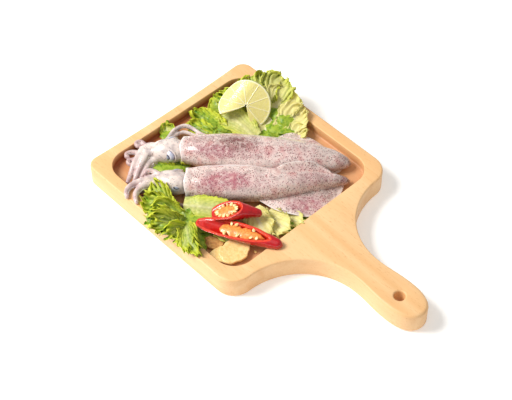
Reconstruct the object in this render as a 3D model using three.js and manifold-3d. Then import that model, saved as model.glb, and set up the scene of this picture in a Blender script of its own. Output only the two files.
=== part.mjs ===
// Two whole raw squid on a wooden paddle board, with lettuce, lime, chilli and ginger.
// Millimetres, +Z up. The origin is on the underside of the board below the middle of
// its square tray. +X runs along the handle.
import * as THREE from "three";
import Module from "manifold-3d";
import { mergeVertices } from "three/examples/jsm/utils/BufferGeometryUtils.js";

const wasm = await Module();
wasm.setup();
const { Manifold, Mesh } = wasm;

// ---------------------------------------------------------------- driving dimensions
const GAP = 0.5; // clear gap left between pieces that touch

// board: square tray with a paddle handle
const BOARD_T = 22; // thickness
const HALF = 100; // half the side of the square
const BACK_R = 11; // corners away from the handle
const FRONT_R = 20; // corners next to the handle
const BACK_BOW = 2; // how far the back edge curves in
const NECK_X = 165; // narrowest place of the handle
const NECK_W = 14.2; // half width there
const GRIP_X = 202; // widest place of the grip
const GRIP_W = 17.2; // half width there
const TIP_X = 230; // end of the handle
const EDGE_R = 1.6; // eased edges
const TRAY_HALF = 88; // half the side of the recess
const TRAY_R = 20; // its corner radius
const FLOOR_Z = 12; // recess floor
const HOLE_X = 203; // hanging hole
const HOLE_Y = -1.5;
const HOLE_R = 5;

// squid lie along the tray's diagonal: s runs head to tail, t across, z up
const LAY = THREE.MathUtils.degToRad(46.5);
const FIN_T = 2.2; // fin thickness at its root
const SKIN_FINISH = ["#d9c6c0", 0.35];

// garnish
const LIME_R = 24;
const LIME_T = 3.6;
const LIME_HUB = 0.8; // bare middle where the segments meet
const LIME_OPEN = THREE.MathUtils.degToRad(79); // opening between the lips, seen flat
const LIME_TWIST = -0.24; // rise of a lip for each millimetre from the middle
const LIME_TURN = THREE.MathUtils.degToRad(244); // where the opening points
const LIME_FOLD = THREE.MathUtils.degToRad(145); // which side droops
const LIME_FOLD_FROM = 4; // distance from the middle to the start of the droop
const LIME_FOLD_R = 15; // radius of the droop
const LIME_LEAN = THREE.MathUtils.degToRad(44);
const LIME_HEAD = LAY;
const LIME_AT = [-43.6, 50.6, 34];
const CHILLI_LONG = 84; // length of the long slanting slice
const CHILLI_R = 8.6;
const CHILLI_SHORT = 46;
const CHILLI_WALL = 2.2;
const CHILLI_HOLLOW = 4.5; // depth of the hollow below the cut
const GINGER_T = 3;

// ---------------------------------------------------------------- small helpers
const UP = new THREE.Vector3(0, 0, 1);
const V = (x, y, z) => new THREE.Vector3(x, y, z);
const lay = (s, t, z) => V(
  s * Math.cos(LAY) - t * Math.sin(LAY),
  s * Math.sin(LAY) + t * Math.cos(LAY),
  z,
);
const clamp01 = (v) => Math.min(1, Math.max(0, v));
const ease = (v) => v * v * (3 - 2 * v);

/** Value at v of a row of evenly spaced sizes, joined smoothly. */
function sizes(row, v) {
  const at = clamp01(v) * (row.length - 1);
  const i = Math.min(row.length - 2, Math.floor(at));
  return THREE.MathUtils.lerp(row[i], row[i + 1], ease(at - i) * 0.5 + (at - i) * 0.5);
}

/** Closed three.js geometry to a Manifold solid with outward faces. */
function solid(geometry) {
  geometry.deleteAttribute("normal");
  geometry.deleteAttribute("uv");
  const welded = mergeVertices(geometry, 1e-4);
  const points = Float32Array.from(welded.attributes.position.array);
  const faces = Uint32Array.from(welded.index.array);
  let volume = 0;
  const a = V(), b = V(), c = V();
  for (let i = 0; i < faces.length; i += 3) {
    a.fromArray(points, faces[i] * 3);
    b.fromArray(points, faces[i + 1] * 3);
    c.fromArray(points, faces[i + 2] * 3);
    volume += a.dot(b.cross(c)) / 6;
  }
  if (volume < 0) {
    for (let i = 0; i < faces.length; i += 3) {
      [faces[i], faces[i + 1]] = [faces[i + 1], faces[i]];
    }
  }
  return new Manifold(new Mesh({ numProp: 3, vertProperties: points, triVerts: faces }));
}

const joined = (parts) => parts.reduce((sum, part) => sum.add(part));
const without = (body, parts) => parts.reduce((rest, part) => rest.subtract(part), body);

/** The largest connected piece, with slivers from the cuts simplified away. */
function main(body, tolerance = 0.15) {
  const pieces = body.simplify(tolerance).decompose();
  return pieces.sort((p, q) => q.volume() - p.volume())[0];
}

/** Manifold to a named, finished mesh. */
function piece(name, body, [colour, roughness], metalness = 0) {
  const { vertProperties, triVerts } = body.getMesh();
  const geometry = new THREE.BufferGeometry();
  geometry.setAttribute("position", new THREE.BufferAttribute(vertProperties, 3));
  geometry.setIndex(new THREE.BufferAttribute(triVerts, 1));
  geometry.computeVertexNormals();
  const finish = new THREE.MeshStandardMaterial({ color: colour, roughness, metalness });
  const mesh = new THREE.Mesh(geometry, finish);
  mesh.name = name;
  return mesh;
}

/** Body of oval sections along a curve: width lies level, height stands up. */
function ovalBody(curve, halfWidth, halfHeight, radial, rings, grow = 0) {
  const geometry = new THREE.SphereGeometry(1, radial, rings);
  const pos = geometry.attributes.position;
  for (let i = 0; i < pos.count; i += 1) {
    const theta = Math.acos(THREE.MathUtils.clamp(pos.getY(i), -1, 1));
    const around = Math.sin(theta);
    const v = (1 - Math.cos(theta)) / 2;
    const p = curve.getPointAt(v);
    const along = curve.getTangentAt(v);
    const side = along.clone().cross(UP).normalize();
    const lift = side.clone().cross(along).normalize();
    if (around > 1e-6) {
      p.addScaledVector(side, (pos.getX(i) / around) * (halfWidth(v) + grow));
      p.addScaledVector(lift, (pos.getZ(i) / around) * (halfHeight(v) + grow));
    }
    p.addScaledVector(along, -Math.cos(theta) * grow);
    pos.setXYZ(i, p.x, p.y, p.z);
  }
  return solid(geometry);
}

/** Tapering round limb along a curve, its end rounded off. */
function limb(points, r0, r1, radial, rings, grow = 0) {
  const curve = new THREE.CatmullRomCurve3(points, false, "centripetal");
  const frames = curve.computeFrenetFrames(rings);
  const geometry = new THREE.SphereGeometry(1, radial, rings);
  const pos = geometry.attributes.position;
  for (let i = 0; i < pos.count; i += 1) {
    const theta = Math.acos(THREE.MathUtils.clamp(pos.getY(i), -1, 1));
    const around = Math.sin(theta);
    const v = theta / Math.PI;
    const k = Math.round(v * rings);
    const p = curve.getPointAt(v);
    if (around > 1e-6) {
      const r = THREE.MathUtils.lerp(r0, r1, Math.pow(v, 0.8)) + grow;
      p.addScaledVector(frames.normals[k], (pos.getX(i) / around) * r);
      p.addScaledVector(frames.binormals[k], (pos.getZ(i) / around) * r);
    }
    p.addScaledVector(frames.tangents[k], -Math.cos(theta) * grow);
    pos.setXYZ(i, p.x, p.y, p.z);
  }
  return solid(geometry);
}

/**
 * Half of a tail fin: a thin plate whose root follows the body. Its edge runs straight
 * out to a rounded corner at peak and bows back to the tail.
 */
function fin(curve, { from, to, peak, rise, reach, side }, root, grow = 0) {
  const geometry = new THREE.BoxGeometry(1, 1, 1, 8, 3, 1);
  const pos = geometry.attributes.position;
  for (let i = 0; i < pos.count; i += 1) {
    const u = pos.getX(i) + 0.5;
    const w = pos.getY(i) + 0.5;
    const v = THREE.MathUtils.lerp(from, to, u);
    const p = curve.getPointAt(v);
    const across = curve.getTangentAt(v).cross(UP).normalize().multiplyScalar(side);
    const fore = Math.pow(Math.sin((Math.PI / 2) * Math.min(1, u / peak)), 1.25);
    const aft = Math.pow(Math.cos((Math.PI / 2) * clamp01((u - peak) / (1 - peak))), 0.75);
    const span = 0.04 + 0.96 * fore * aft;
    const out = root(v) + (w * reach + grow * (w - 0.5) * 2) * span;
    const thick = FIN_T * (1 - 0.45 * w) + 2 * grow;
    p.addScaledVector(across, out);
    p.z += rise(w * span) + pos.getZ(i) * thick;
    pos.setXYZ(i, p.x, p.y, p.z);
  }
  return solid(geometry);
}

/** Heap of leaves as one solid: an oval dome with a ruffled outline and a flat base. */
function heap({ at, rx, ry, low, high, turn = 0, ruffles = 9, depth = 0.1, seed = 0 }, grow = 0) {
  const geometry = new THREE.SphereGeometry(1, 14, 6);
  const pos = geometry.attributes.position;
  const middle = (low + high) / 2;
  const half = (high - low) / 2 + grow;
  for (let i = 0; i < pos.count; i += 1) {
    const phi = Math.atan2(pos.getZ(i), pos.getX(i));
    const theta = Math.acos(THREE.MathUtils.clamp(pos.getY(i), -1, 1));
    const wave = Math.sin(phi * ruffles + seed + theta * 2.2) * Math.sin(theta);
    const k = 1 + depth * wave;
    const flat = Math.pow(Math.sin(theta), 0.55);
    const x = Math.cos(phi) * flat * (rx * k + grow);
    const y = Math.sin(phi) * flat * (ry * k + grow);
    const bump = 1 + 0.12 * Math.sin(phi * 3 + seed * 2) * Math.sin(theta * 2);
    const z = middle + Math.cos(theta) * half * bump;
    pos.setXYZ(
      i,
      at[0] + x * Math.cos(turn) - y * Math.sin(turn),
      at[1] + x * Math.sin(turn) + y * Math.cos(turn),
      z,
    );
  }
  return solid(geometry);
}

// ---------------------------------------------------------------- board
function boardShape(out = 0) {
  const h = HALF + out;
  const back = BACK_R + out;
  const front = FRONT_R + out;
  const neck = NECK_W + out;
  const grip = GRIP_W + out;
  const tip = TIP_X + out;
  const s = new THREE.Shape();
  s.moveTo(-h, h - back);
  s.quadraticCurveTo(-h + 2 * BACK_BOW, 0, -h, -h + back);
  s.absarc(-h + back, -h + back, back, Math.PI, 1.5 * Math.PI, false);
  s.lineTo(h - front, -h);
  s.absarc(h - front, -h + front, front, 1.5 * Math.PI, 2 * Math.PI, false);
  s.bezierCurveTo(h, -h + front + 28.5, NECK_X - 44, -neck, NECK_X, -neck);
  s.bezierCurveTo(NECK_X + 14, -neck, GRIP_X - 16, -grip, GRIP_X, -grip);
  s.bezierCurveTo(GRIP_X + 17, -grip, tip, -11, tip, 0);
  s.bezierCurveTo(tip, 11, GRIP_X + 17, grip, GRIP_X, grip);
  s.bezierCurveTo(GRIP_X - 16, grip, NECK_X + 14, neck, NECK_X, neck);
  s.bezierCurveTo(NECK_X - 44, neck, h, h - front - 28.5, h, h - front);
  s.absarc(h - front, h - front, front, 0, 0.5 * Math.PI, false);
  s.lineTo(-h + back, h);
  s.absarc(-h + back, h - back, back, 0.5 * Math.PI, Math.PI, false);
  return s;
}

function trayShape(out = 0) {
  const h = TRAY_HALF + out;
  const r = TRAY_R + out;
  const s = new THREE.Shape();
  s.moveTo(-h, -h + r);
  s.absarc(-h + r, -h + r, r, Math.PI, 1.5 * Math.PI, false);
  s.absarc(h - r, -h + r, r, 1.5 * Math.PI, 2 * Math.PI, false);
  s.absarc(h - r, h - r, r, 0, 0.5 * Math.PI, false);
  s.absarc(-h + r, h - r, r, 0.5 * Math.PI, Math.PI, false);
  s.closePath();
  return s;
}

function board() {
  const slab = new THREE.ExtrudeGeometry(boardShape(), {
    depth: BOARD_T - 2 * EDGE_R,
    bevelThickness: EDGE_R,
    bevelSize: EDGE_R,
    bevelOffset: -EDGE_R,
    bevelSegments: 1,
    curveSegments: 5,
  });
  slab.translate(0, 0, EDGE_R);
  const tray = new THREE.ExtrudeGeometry(trayShape(), {
    depth: BOARD_T,
    bevelEnabled: false,
    curveSegments: 5,
  });
  tray.translate(0, 0, FLOOR_Z);
  const hole = new THREE.CylinderGeometry(HOLE_R, HOLE_R, BOARD_T * 2, 20);
  hole.rotateX(Math.PI / 2);
  hole.translate(HOLE_X, HOLE_Y, BOARD_T / 2);
  return main(without(solid(slab), [solid(tray), solid(hole)]), 0.03);
}

/** The board a gap larger on every face, for cutting what lies on it. */
function boardRoom() {
  const slab = new THREE.ExtrudeGeometry(boardShape(GAP), {
    depth: BOARD_T + GAP + 40,
    bevelEnabled: false,
    curveSegments: 5,
  });
  slab.translate(0, 0, -40);
  const tray = new THREE.ExtrudeGeometry(trayShape(-GAP), {
    depth: BOARD_T,
    bevelEnabled: false,
    curveSegments: 5,
  });
  tray.translate(0, 0, FLOOR_Z + GAP);
  return solid(slab).subtract(solid(tray));
}

// ---------------------------------------------------------------- squid
/** Mantle, fins, head, eyes, arms and tentacles of one squid. */
function squid(spec, grow = 0) {
  const line = new THREE.CatmullRomCurve3(spec.spine.map((p) => lay(...p)), false, "centripetal");
  const wide = (v) => sizes(spec.width, v);
  const tall = (v) => sizes(spec.height, v);
  const mantle = ovalBody(line, wide, tall, 15, 12, grow);
  const root = (v) => wide(v) * 0.75;
  const fins = spec.fins.map((f) => fin(line, f, root, grow));
  const headLine = new THREE.CatmullRomCurve3(spec.head.map((p) => lay(...p)));
  const round = (size) => (v) => size * (0.72 + 0.28 * Math.sin(Math.PI * v));
  const head = ovalBody(headLine, round(spec.headW), round(spec.headH), 12, 6, grow);
  const eyes = spec.eyes.map((e) => {
    const ball = new THREE.SphereGeometry(spec.eyeR + grow, 8, 6);
    ball.translate(...lay(...e).toArray());
    return solid(ball);
  });
  const arms = spec.arms.map((a) => {
    const path = a.path.map((p) => lay(...p));
    return limb(path, a.r0, a.r1, 5, a.rings ?? 6, grow);
  });
  return joined([mantle, head, ...fins, ...eyes, ...arms]);
}

const REAR = {
  spine: [[-52, 16.4, 26], [0, 12.3, 27.4], [57, 7.4, 26], [86, 7.6, 21.5], [105, 6.4, 17.5]],
  width: [13.6, 17.3, 18.5, 18.6, 18.3, 17.2, 15, 11.4, 4],
  height: [12.2, 14.3, 15, 15, 15, 14.6, 13, 9.6, 3.6],
  fins: [
    { from: 0.46, to: 0.9, peak: 0.44, side: -1, reach: 27, rise: (w) => -3 - 5.5 * w },
    { from: 0.6, to: 0.94, peak: 0.5, side: 1, reach: 5, rise: (w) => -5 - 7 * w },
  ],
  head: [[-80, 17, 23.5], [-66, 17.2, 24], [-48, 16.2, 25.5]],
  headW: 12.2,
  headH: 10.8,
  eyes: [[-62.5, 8.6, 26.6], [-62.5, 26.4, 26.6]],
  eyeR: 5.4,
  arms: [
    {
      path: [
        [-74, 19, 25], [-86, 19, 24.5], [-94, 8, 22], [-99, -6, 18], [-102, -17, 16],
      ],
      r0: 5.2, r1: 1.7,
    },
    {
      path: [
        [-74, 15, 25], [-84, 13, 24], [-90, 2, 21], [-94, -9, 17], [-97, -18, 15],
      ],
      r0: 5.2, r1: 1.7,
    },
    { path: [[-74, 13, 20], [-82, 7, 19], [-86, -2, 17.5], [-90, -11, 15.5]], r0: 5, r1: 1.5 },
    {
      path: [
        [-74, 22, 22], [-84, 25, 21], [-92, 18, 19], [-97, 6, 17], [-101, -5, 15],
      ],
      r0: 4.8, r1: 1.6,
    },
    {
      path: [
        [-76, 22, 20], [-86, 26, 20], [-92, 31, 21], [-96, 29, 22], [-94.5, 25, 22],
        [-91.5, 27, 21.5],
      ],
      r0: 3.4, r1: 1.7, rings: 9,
    },
    {
      path: [
        [-78, 19, 17], [-92, 20, 17], [-100, 20, 19], [-104.5, 17, 20], [-104, 13, 20],
        [-101, 14, 19],
      ],
      r0: 3.4, r1: 1.5, rings: 9,
    },
    {
      path: [
        [-78, 16, 16], [-92, 14.5, 15.5], [-99, 12, 17], [-103, 9, 18], [-101, 5.5, 18],
        [-98, 7, 17],
      ],
      r0: 3.2, r1: 1.4, rings: 9,
    },
    { path: [[-74, 12, 17], [-80, 5, 15.5], [-84, -6, 15]], r0: 3.8, r1: 1.2 },
    {
      path: [
        [-72, 27, 20], [-66, 36, 21], [-60, 46, 22], [-51, 51.5, 21.5], [-43, 49.5, 19.5],
        [-36, 44, 18.5], [-24, 38.5, 19],
      ],
      r0: 2.6, r1: 1.7, rings: 11,
    },
    {
      path: [
        [-74, 24, 19], [-67, 32, 19.5], [-60, 41, 19.5], [-52, 46, 18.5], [-43, 44, 17],
        [-34, 39.5, 16],
      ],
      r0: 2.5, r1: 1.6, rings: 9,
    },
  ],
};

const FRONT = {
  spine: [
    [-47, -24.6, 26.2], [0, -25.8, 27.3], [38, -26.3, 26.3], [60, -21.8, 23.3],
    [80, -16.6, 20.2], [103, -13.4, 16.4],
  ],
  width: [14.6, 17.8, 18.4, 18.2, 16.4, 12.4, 9.6, 7.2, 3.2],
  height: [12.4, 14.6, 15, 14.9, 14.2, 12.4, 10, 7.6, 3],
  fins: [
    { from: 0.4, to: 0.955, peak: 0.57, side: 1, reach: 29, rise: (w) => -3 - 2.5 * w },
    { from: 0.45, to: 0.9, peak: 0.6, side: -1, reach: 8, rise: (w) => 2 + 10.5 * w },
  ],
  head: [[-75, -18.5, 22.5], [-61, -21.6, 23.8], [-44, -24, 25.5]],
  headW: 12,
  headH: 10.8,
  eyes: [[-55, -30.2, 26.6], [-57.5, -13.6, 26.6]],
  eyeR: 5.4,
  arms: [
    {
      path: [
        [-70, -17, 25], [-82, -20.5, 25.5], [-92, -23.5, 25.4], [-98.5, -28.5, 25],
        [-101, -34.5, 24.6], [-99.5, -41, 24.2],
      ],
      r0: 4.4, r1: 1.9, rings: 9,
    },
    {
      path: [
        [-70, -21, 24], [-80, -24.5, 24.6], [-88, -29, 25], [-92.3, -36, 24.8],
        [-92, -42.5, 24.6], [-90, -47.5, 23.6],
      ],
      r0: 4.4, r1: 2, rings: 9,
    },
    { path: [[-70, -15, 22], [-80, -14, 21.5], [-88, -16, 20], [-94, -20, 18]], r0: 4, r1: 1.4 },
    { path: [[-70, -20, 19], [-80, -22, 18], [-88, -26, 16], [-94, -25, 15]], r0: 4.2, r1: 1.3 },
    { path: [[-70, -23, 20], [-79, -28, 18], [-84, -35, 16], [-82, -42, 15]], r0: 4, r1: 1.3 },
    { path: [[-70, -14, 18], [-78, -10, 16], [-83, -13, 15], [-82, -19, 15]], r0: 3.6, r1: 1.3 },
    {
      path: [
        [-72, -12.5, 23], [-79, -8.5, 25], [-84, -9.5, 25.5], [-86, -13.5, 24.5],
      ],
      r0: 3, r1: 1.3,
    },
    { path: [[-68, -26, 19], [-74, -33, 16.5], [-72, -40, 15]], r0: 3.6, r1: 1.2 },
    {
      path: [
        [-68, -24, 17], [-70, -34, 15], [-62, -42, 15], [-50, -46, 15],
      ],
      r0: 2.4, r1: 1.5, rings: 9,
    },
    {
      path: [
        [-68, -27, 16], [-66, -34, 15], [-56, -39, 14.6], [-42, -45, 14.6],
      ],
      r0: 2.4, r1: 1.5, rings: 9,
    },
  ],
};

// ---------------------------------------------------------------- lime, chilli, ginger
/** Turn a geometry's +Z to face a way, then move it to a place. */
function pose(geometry, turnZ, lean, heading, [x, y, z]) {
  geometry.rotateZ(turnZ);
  geometry.rotateX(lean);
  geometry.rotateZ(heading);
  geometry.translate(x, y, z);
  return geometry;
}

/** Bends the slice down past a straight line, as a limp slice droops over a leaf. */
function droop(x, y, z) {
  const out = x * Math.cos(LIME_FOLD) + y * Math.sin(LIME_FOLD) - LIME_FOLD_FROM;
  if (out <= 0) return [x, y, z];
  const turned = out / LIME_FOLD_R;
  const shift = (LIME_FOLD_R + z) * Math.sin(turned) - out;
  return [
    x + shift * Math.cos(LIME_FOLD),
    y + shift * Math.sin(LIME_FOLD),
    (LIME_FOLD_R + z) * Math.cos(turned) - LIME_FOLD_R,
  ];
}

/** Round slice cut along one radius, its two lips twisted apart and one side drooping. */
function lime(grow = 0) {
  const slice = new THREE.BoxGeometry(1, 1, 1, 4, 26, 1);
  const pos = slice.attributes.position;
  for (let i = 0; i < pos.count; i += 1) {
    const reach = LIME_HUB + (pos.getX(i) + 0.5) * (LIME_R - LIME_HUB + grow);
    const spare = (pos.getY(i) * 2 * grow) / reach;
    const phi = Math.PI + pos.getY(i) * (2 * Math.PI - LIME_OPEN) + spare;
    const rise = LIME_TWIST * reach * Math.cos(phi / 2);
    const z = pos.getZ(i) * (LIME_T + 2 * grow) + rise;
    const facing = phi + LIME_TURN;
    pos.setXYZ(i, ...droop(reach * Math.cos(facing), reach * Math.sin(facing), z));
  }
  return solid(pose(slice, 0, LIME_LEAN, LIME_HEAD, LIME_AT));
}
/** Block whose underside is the knife's cut: height over the axis at the middle, and its slope. */
function knife({ length, radius, slope }, height) {
  const block = new THREE.BoxGeometry(length * 2, radius * 4, radius * 6);
  block.translate(0, 0, radius * 3);
  block.rotateY(-Math.atan(slope));
  block.translate(0, 0, height);
  return solid(block);
}

/** Slanting slice of a tapering chilli, hollowed, lying cut face up. */
function chilli(spec, grow = 0) {
  const { length, radius, shape, at, heading, tilt, roll, face } = spec;
  const line = new THREE.CatmullRomCurve3([V(-length / 2, 0, 0), V(0, 0, 1), V(length / 2, 0, 0)]);
  const size = (v) => radius * sizes(shape, v);
  let body = ovalBody(line, size, size, 14, 12, grow).subtract(knife(spec, face + grow));
  if (grow === 0) {
    const inner = (v) => Math.max(0.5, size(v) - CHILLI_WALL);
    const inside = ovalBody(line, inner, inner, 12, 10);
    body = body.subtract(inside.intersect(knife(spec, face - CHILLI_HOLLOW)));
  }
  const turned = body.rotate(roll, tilt, 0).rotate(0, 0, heading);
  return turned.translate(...at);
}
const LONG = {
  length: CHILLI_LONG,
  radius: CHILLI_R,
  shape: [0.62, 0.9, 1, 1, 0.94, 0.74, 0.5],
  at: [60, -56.5, 26.5],
  heading: 27.5,
  tilt: 3,
  roll: 14,
  face: 1.2,
  slope: 0.15,
};
const SHORT = {
  length: CHILLI_SHORT,
  radius: 9.2,
  shape: [1, 1, 1, 0.9, 0.72, 0.52, 0.34],
  at: [46.5, -44.5, 33.4],
  heading: 50,
  tilt: 12,
  roll: 8,
  face: 5.6,
  slope: 0.62,
};

/** Thin slice of ginger root with an uneven outline. */
function ginger({ rx, ry, turn, lean, heading, at, seed }, grow = 0) {
  const slice = new THREE.CylinderGeometry(1, 1, GINGER_T + 2 * grow, 18, 1);
  const pos = slice.attributes.position;
  for (let i = 0; i < pos.count; i += 1) {
    const phi = Math.atan2(pos.getZ(i), pos.getX(i));
    const reach = Math.hypot(pos.getX(i), pos.getZ(i));
    const k = 1 + 0.06 * Math.sin(2 * phi + seed) + 0.04 * Math.sin(5 * phi + seed * 3);
    const x = Math.cos(phi) * reach * (rx * k + grow);
    const y = Math.sin(phi) * reach * (ry * k + grow);
    pos.setXYZ(i, x, y, pos.getY(i));
  }
  return solid(pose(slice, turn, lean, heading, at));
}
const GINGER = [
  { rx: 14.5, ry: 12, turn: 0.5, lean: 0.16, heading: 0.8, at: [67.5, -68, 17.2], seed: 0.4 },
  { rx: 11, ry: 8.6, turn: 0.2, lean: 0.1, heading: 0.8, at: [62.5, -77, 14.6], seed: 2.1 },
  { rx: 9.5, ry: 7, turn: 0.1, lean: 0.04, heading: 0.5, at: [47, -73, 14.4], seed: 4 },
];

// ---------------------------------------------------------------- lettuce
const BACK_LETTUCE = [
  { at: [-58, 88], rx: 24, ry: 14.5, low: 14, high: 34, turn: 0.1, seed: 1, depth: 0.12 },
  { at: [-22, 80], rx: 27, ry: 15.5, low: 12.4, high: 31, turn: -0.12, seed: 2, depth: 0.1 },
  { at: [-75, 58], rx: 13, ry: 22, low: 12.4, high: 29, turn: -0.2, seed: 3, depth: 0.12 },
  { at: [-53, 31], rx: 20, ry: 14, low: 12.4, high: 20.5, turn: 0.75, seed: 4, depth: 0.1 },
  { at: [-22, 52], rx: 27, ry: 15, low: 12.4, high: 17.6, turn: 0.75, seed: 6, depth: 0.06 },
  { at: [-6, 68], rx: 20, ry: 13, low: 12.4, high: 24, turn: 0.6, seed: 7, depth: 0.08 },
  { at: [-68, 18], rx: 16, ry: 11, low: 12.4, high: 22, turn: 0.3, seed: 5, depth: 0.16 },
];
const CORNER_LETTUCE = {
  at: [-79.5, -17], rx: 6, ry: 10, low: 12.4, high: 19.5, seed: 1, depth: 0.12, ruffles: 7,
};
const BETWEEN_LETTUCE = {
  at: [-44, -44], rx: 19, ry: 8, low: 12.4, high: 21, turn: 0.75, seed: 2, depth: 0.08,
};
const FRONT_LETTUCE = [
  { at: [-19, -80], rx: 17, ry: 15, low: 12.4, high: 31, turn: 0.4, seed: 1, depth: 0.13 },
  { at: [2, -93], rx: 21, ry: 13, low: 14, high: 30, turn: 0.1, seed: 3, depth: 0.13 },
];
const FOLD_LETTUCE = [
  { at: [24, -60], rx: 31, ry: 18, low: 12.4, high: 25.5, turn: 0.65, seed: 2, depth: 0.06 },
  { at: [36, -86], rx: 22, ry: 7.5, low: 13, high: 28, turn: -0.3, seed: 5, depth: 0.15 },
];
const RIGHT_LETTUCE = [
  { at: [67, -21], rx: 23, ry: 14, low: 12.4, high: 20, turn: 0.5, seed: 1, depth: 0.1 },
  { at: [82, 4], rx: 6.5, ry: 20, low: 12.4, high: 19.5, turn: 0, seed: 3, depth: 0.1 },
];

// ---------------------------------------------------------------- assembly
const room = boardRoom();
const rear = main(squid(REAR).subtract(room));
const rearRoom = squid(REAR, GAP);
const front = main(without(squid(FRONT), [room, rearRoom]));
const frontRoom = squid(FRONT, GAP);
const squidRoom = [rearRoom, frontRoom];

const limeSlice = main(without(lime(), [room, ...squidRoom]), 0.03);
const limeRoom = lime(GAP);
const chilliLong = main(without(chilli(LONG), [room, ...squidRoom]));
const longRoom = chilli(LONG, GAP);
const chilliShort = main(without(chilli(SHORT), [room, longRoom, ...squidRoom]));
const shortRoom = chilli(SHORT, GAP);

const garnishRoom = [limeRoom, longRoom, shortRoom];
const gingerSlices = [];
const gingerRoom = [];
for (const spec of GINGER) {
  const slice = main(without(ginger(spec), [room, ...gingerRoom, longRoom, shortRoom]));
  gingerSlices.push(slice);
  gingerRoom.push(ginger(spec, GAP));
}

const taken = [room, ...squidRoom, ...garnishRoom, ...gingerRoom];
const leafRoom = [];
function leaves(specs) {
  const whole = joined(specs.map((spec) => heap(spec)));
  const left = main(without(whole, [...taken, ...leafRoom]), 0.22);
  leafRoom.push(joined(specs.map((spec) => heap(spec, GAP))));
  return left;
}

const LEAF = ["#b9c84a", 0.55];
const group = new THREE.Group();
group.name = "squid_board";
group.add(piece("board", board(), ["#f0cb97", 0.55]));
group.add(piece("squid_rear", rear, SKIN_FINISH));
group.add(piece("squid_front", front, SKIN_FINISH));
group.add(piece("lime_slice", limeSlice, ["#e6dd92", 0.4]));
group.add(piece("chilli_long", chilliLong, ["#d3201c", 0.25]));
group.add(piece("chilli_short", chilliShort, ["#d3201c", 0.25]));
gingerSlices.forEach((slice, i) => {
  group.add(piece(`ginger_${i + 1}`, slice, ["#f0cf86", 0.5]));
});
group.add(piece("lettuce_front", leaves(FRONT_LETTUCE), LEAF));
group.add(piece("lettuce_fold", leaves(FOLD_LETTUCE), LEAF));
group.add(piece("lettuce_right", leaves(RIGHT_LETTUCE), LEAF));
group.add(piece("lettuce_back", leaves(BACK_LETTUCE), LEAF));
group.add(piece("lettuce_corner", leaves([CORNER_LETTUCE]), LEAF));
group.add(piece("lettuce_between", leaves([BETWEEN_LETTUCE]), LEAF));

export default group;
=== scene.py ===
"""Two whole raw squid on a wooden paddle board, with lettuce, lime, chilli and ginger.

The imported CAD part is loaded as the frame. Sizes in the classes below are millimetres in that
frame: +X runs along the handle, +Z is up and the origin is below the middle of the square tray.
"""

import logging
import math
from dataclasses import dataclass, field
from enum import Enum
from functools import cache
from typing import Any

import bmesh
import bpy
import numpy as np
from mathutils import Matrix, Vector, noise


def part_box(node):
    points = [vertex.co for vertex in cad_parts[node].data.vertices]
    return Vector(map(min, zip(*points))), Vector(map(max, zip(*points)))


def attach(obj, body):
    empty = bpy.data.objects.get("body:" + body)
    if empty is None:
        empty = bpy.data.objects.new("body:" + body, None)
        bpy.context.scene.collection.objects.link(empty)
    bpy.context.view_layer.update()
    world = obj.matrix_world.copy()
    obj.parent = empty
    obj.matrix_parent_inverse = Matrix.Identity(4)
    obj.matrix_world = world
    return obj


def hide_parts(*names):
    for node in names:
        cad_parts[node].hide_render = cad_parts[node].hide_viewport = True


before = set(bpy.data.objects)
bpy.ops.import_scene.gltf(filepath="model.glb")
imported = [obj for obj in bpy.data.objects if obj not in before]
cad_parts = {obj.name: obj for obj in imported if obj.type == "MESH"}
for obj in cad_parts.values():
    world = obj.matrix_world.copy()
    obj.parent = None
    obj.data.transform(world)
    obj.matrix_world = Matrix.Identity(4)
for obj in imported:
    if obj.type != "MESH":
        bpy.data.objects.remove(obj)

LOG = logging.getLogger("squid_board")
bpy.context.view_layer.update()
MM = 0.001
UP = np.array([0.0, 0.0, 1.0])
BODY = "root"

Array = np.ndarray
Node = bpy.types.Node
Piece = bpy.types.Object
Point = tuple[float, float, float]
Ring = list[bmesh.types.BMVert]
Row = tuple[float, ...]
Socket = bpy.types.NodeSocket
Spot = tuple[float, float]
Tree = bpy.types.NodeTree


# ---------------------------------------------------------------- colour and node helpers
def linear(colour: str) -> tuple[float, float, float, float]:
    """Turns an sRGB hex colour to linear RGBA.

    Args:
        colour: Six hex digits after a hash sign.

    Returns:
        Red, green, blue and an alpha of 1.
    """
    parts = [int(colour[i : i + 2], 16) / 255 for i in (1, 3, 5)]
    red, green, blue = (p / 12.92 if p <= 0.04045 else ((p + 0.055) / 1.055) ** 2.4 for p in parts)
    return red, green, blue, 1.0


def add(tree: Tree, kind: str, settings: dict[str | int, Any] | None = None) -> Node:
    """Adds a node with its settings and links.

    Args:
        tree: The material's or world's node tree.
        kind: The node's type name after "ShaderNode".
        settings: Node properties, and input sockets by name or number. A hex string becomes a
            linear colour. An output is linked, and so is a node, by its first output or, of a
            colour mix, its third. "stops" fills a colour ramp with (place, colour) pairs.

    Returns:
        The new node.
    """
    made = tree.nodes.new("ShaderNode" + kind)
    for key, value in (settings or {}).items():
        if isinstance(value, Node):
            value = value.outputs[2 if value.bl_idname == "ShaderNodeMix" else 0]
        if key == "stops":
            ramp = made.color_ramp.elements
            while len(ramp) < len(value):
                ramp.new(0.5)
            for element, (place, colour) in zip(ramp, value, strict=True):
                element.position = place
                element.color = linear(colour)
        elif isinstance(key, str) and hasattr(made, key):
            setattr(made, key, value)
        elif isinstance(value, Socket):
            tree.links.new(value, made.inputs[key])
        else:
            is_hex = isinstance(value, str) and value.startswith("#")
            made.inputs[key].default_value = linear(value) if is_hex else value
    return made


COLOUR = {"data_type": "RGBA"}  # makes a mix node mix colours


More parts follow.
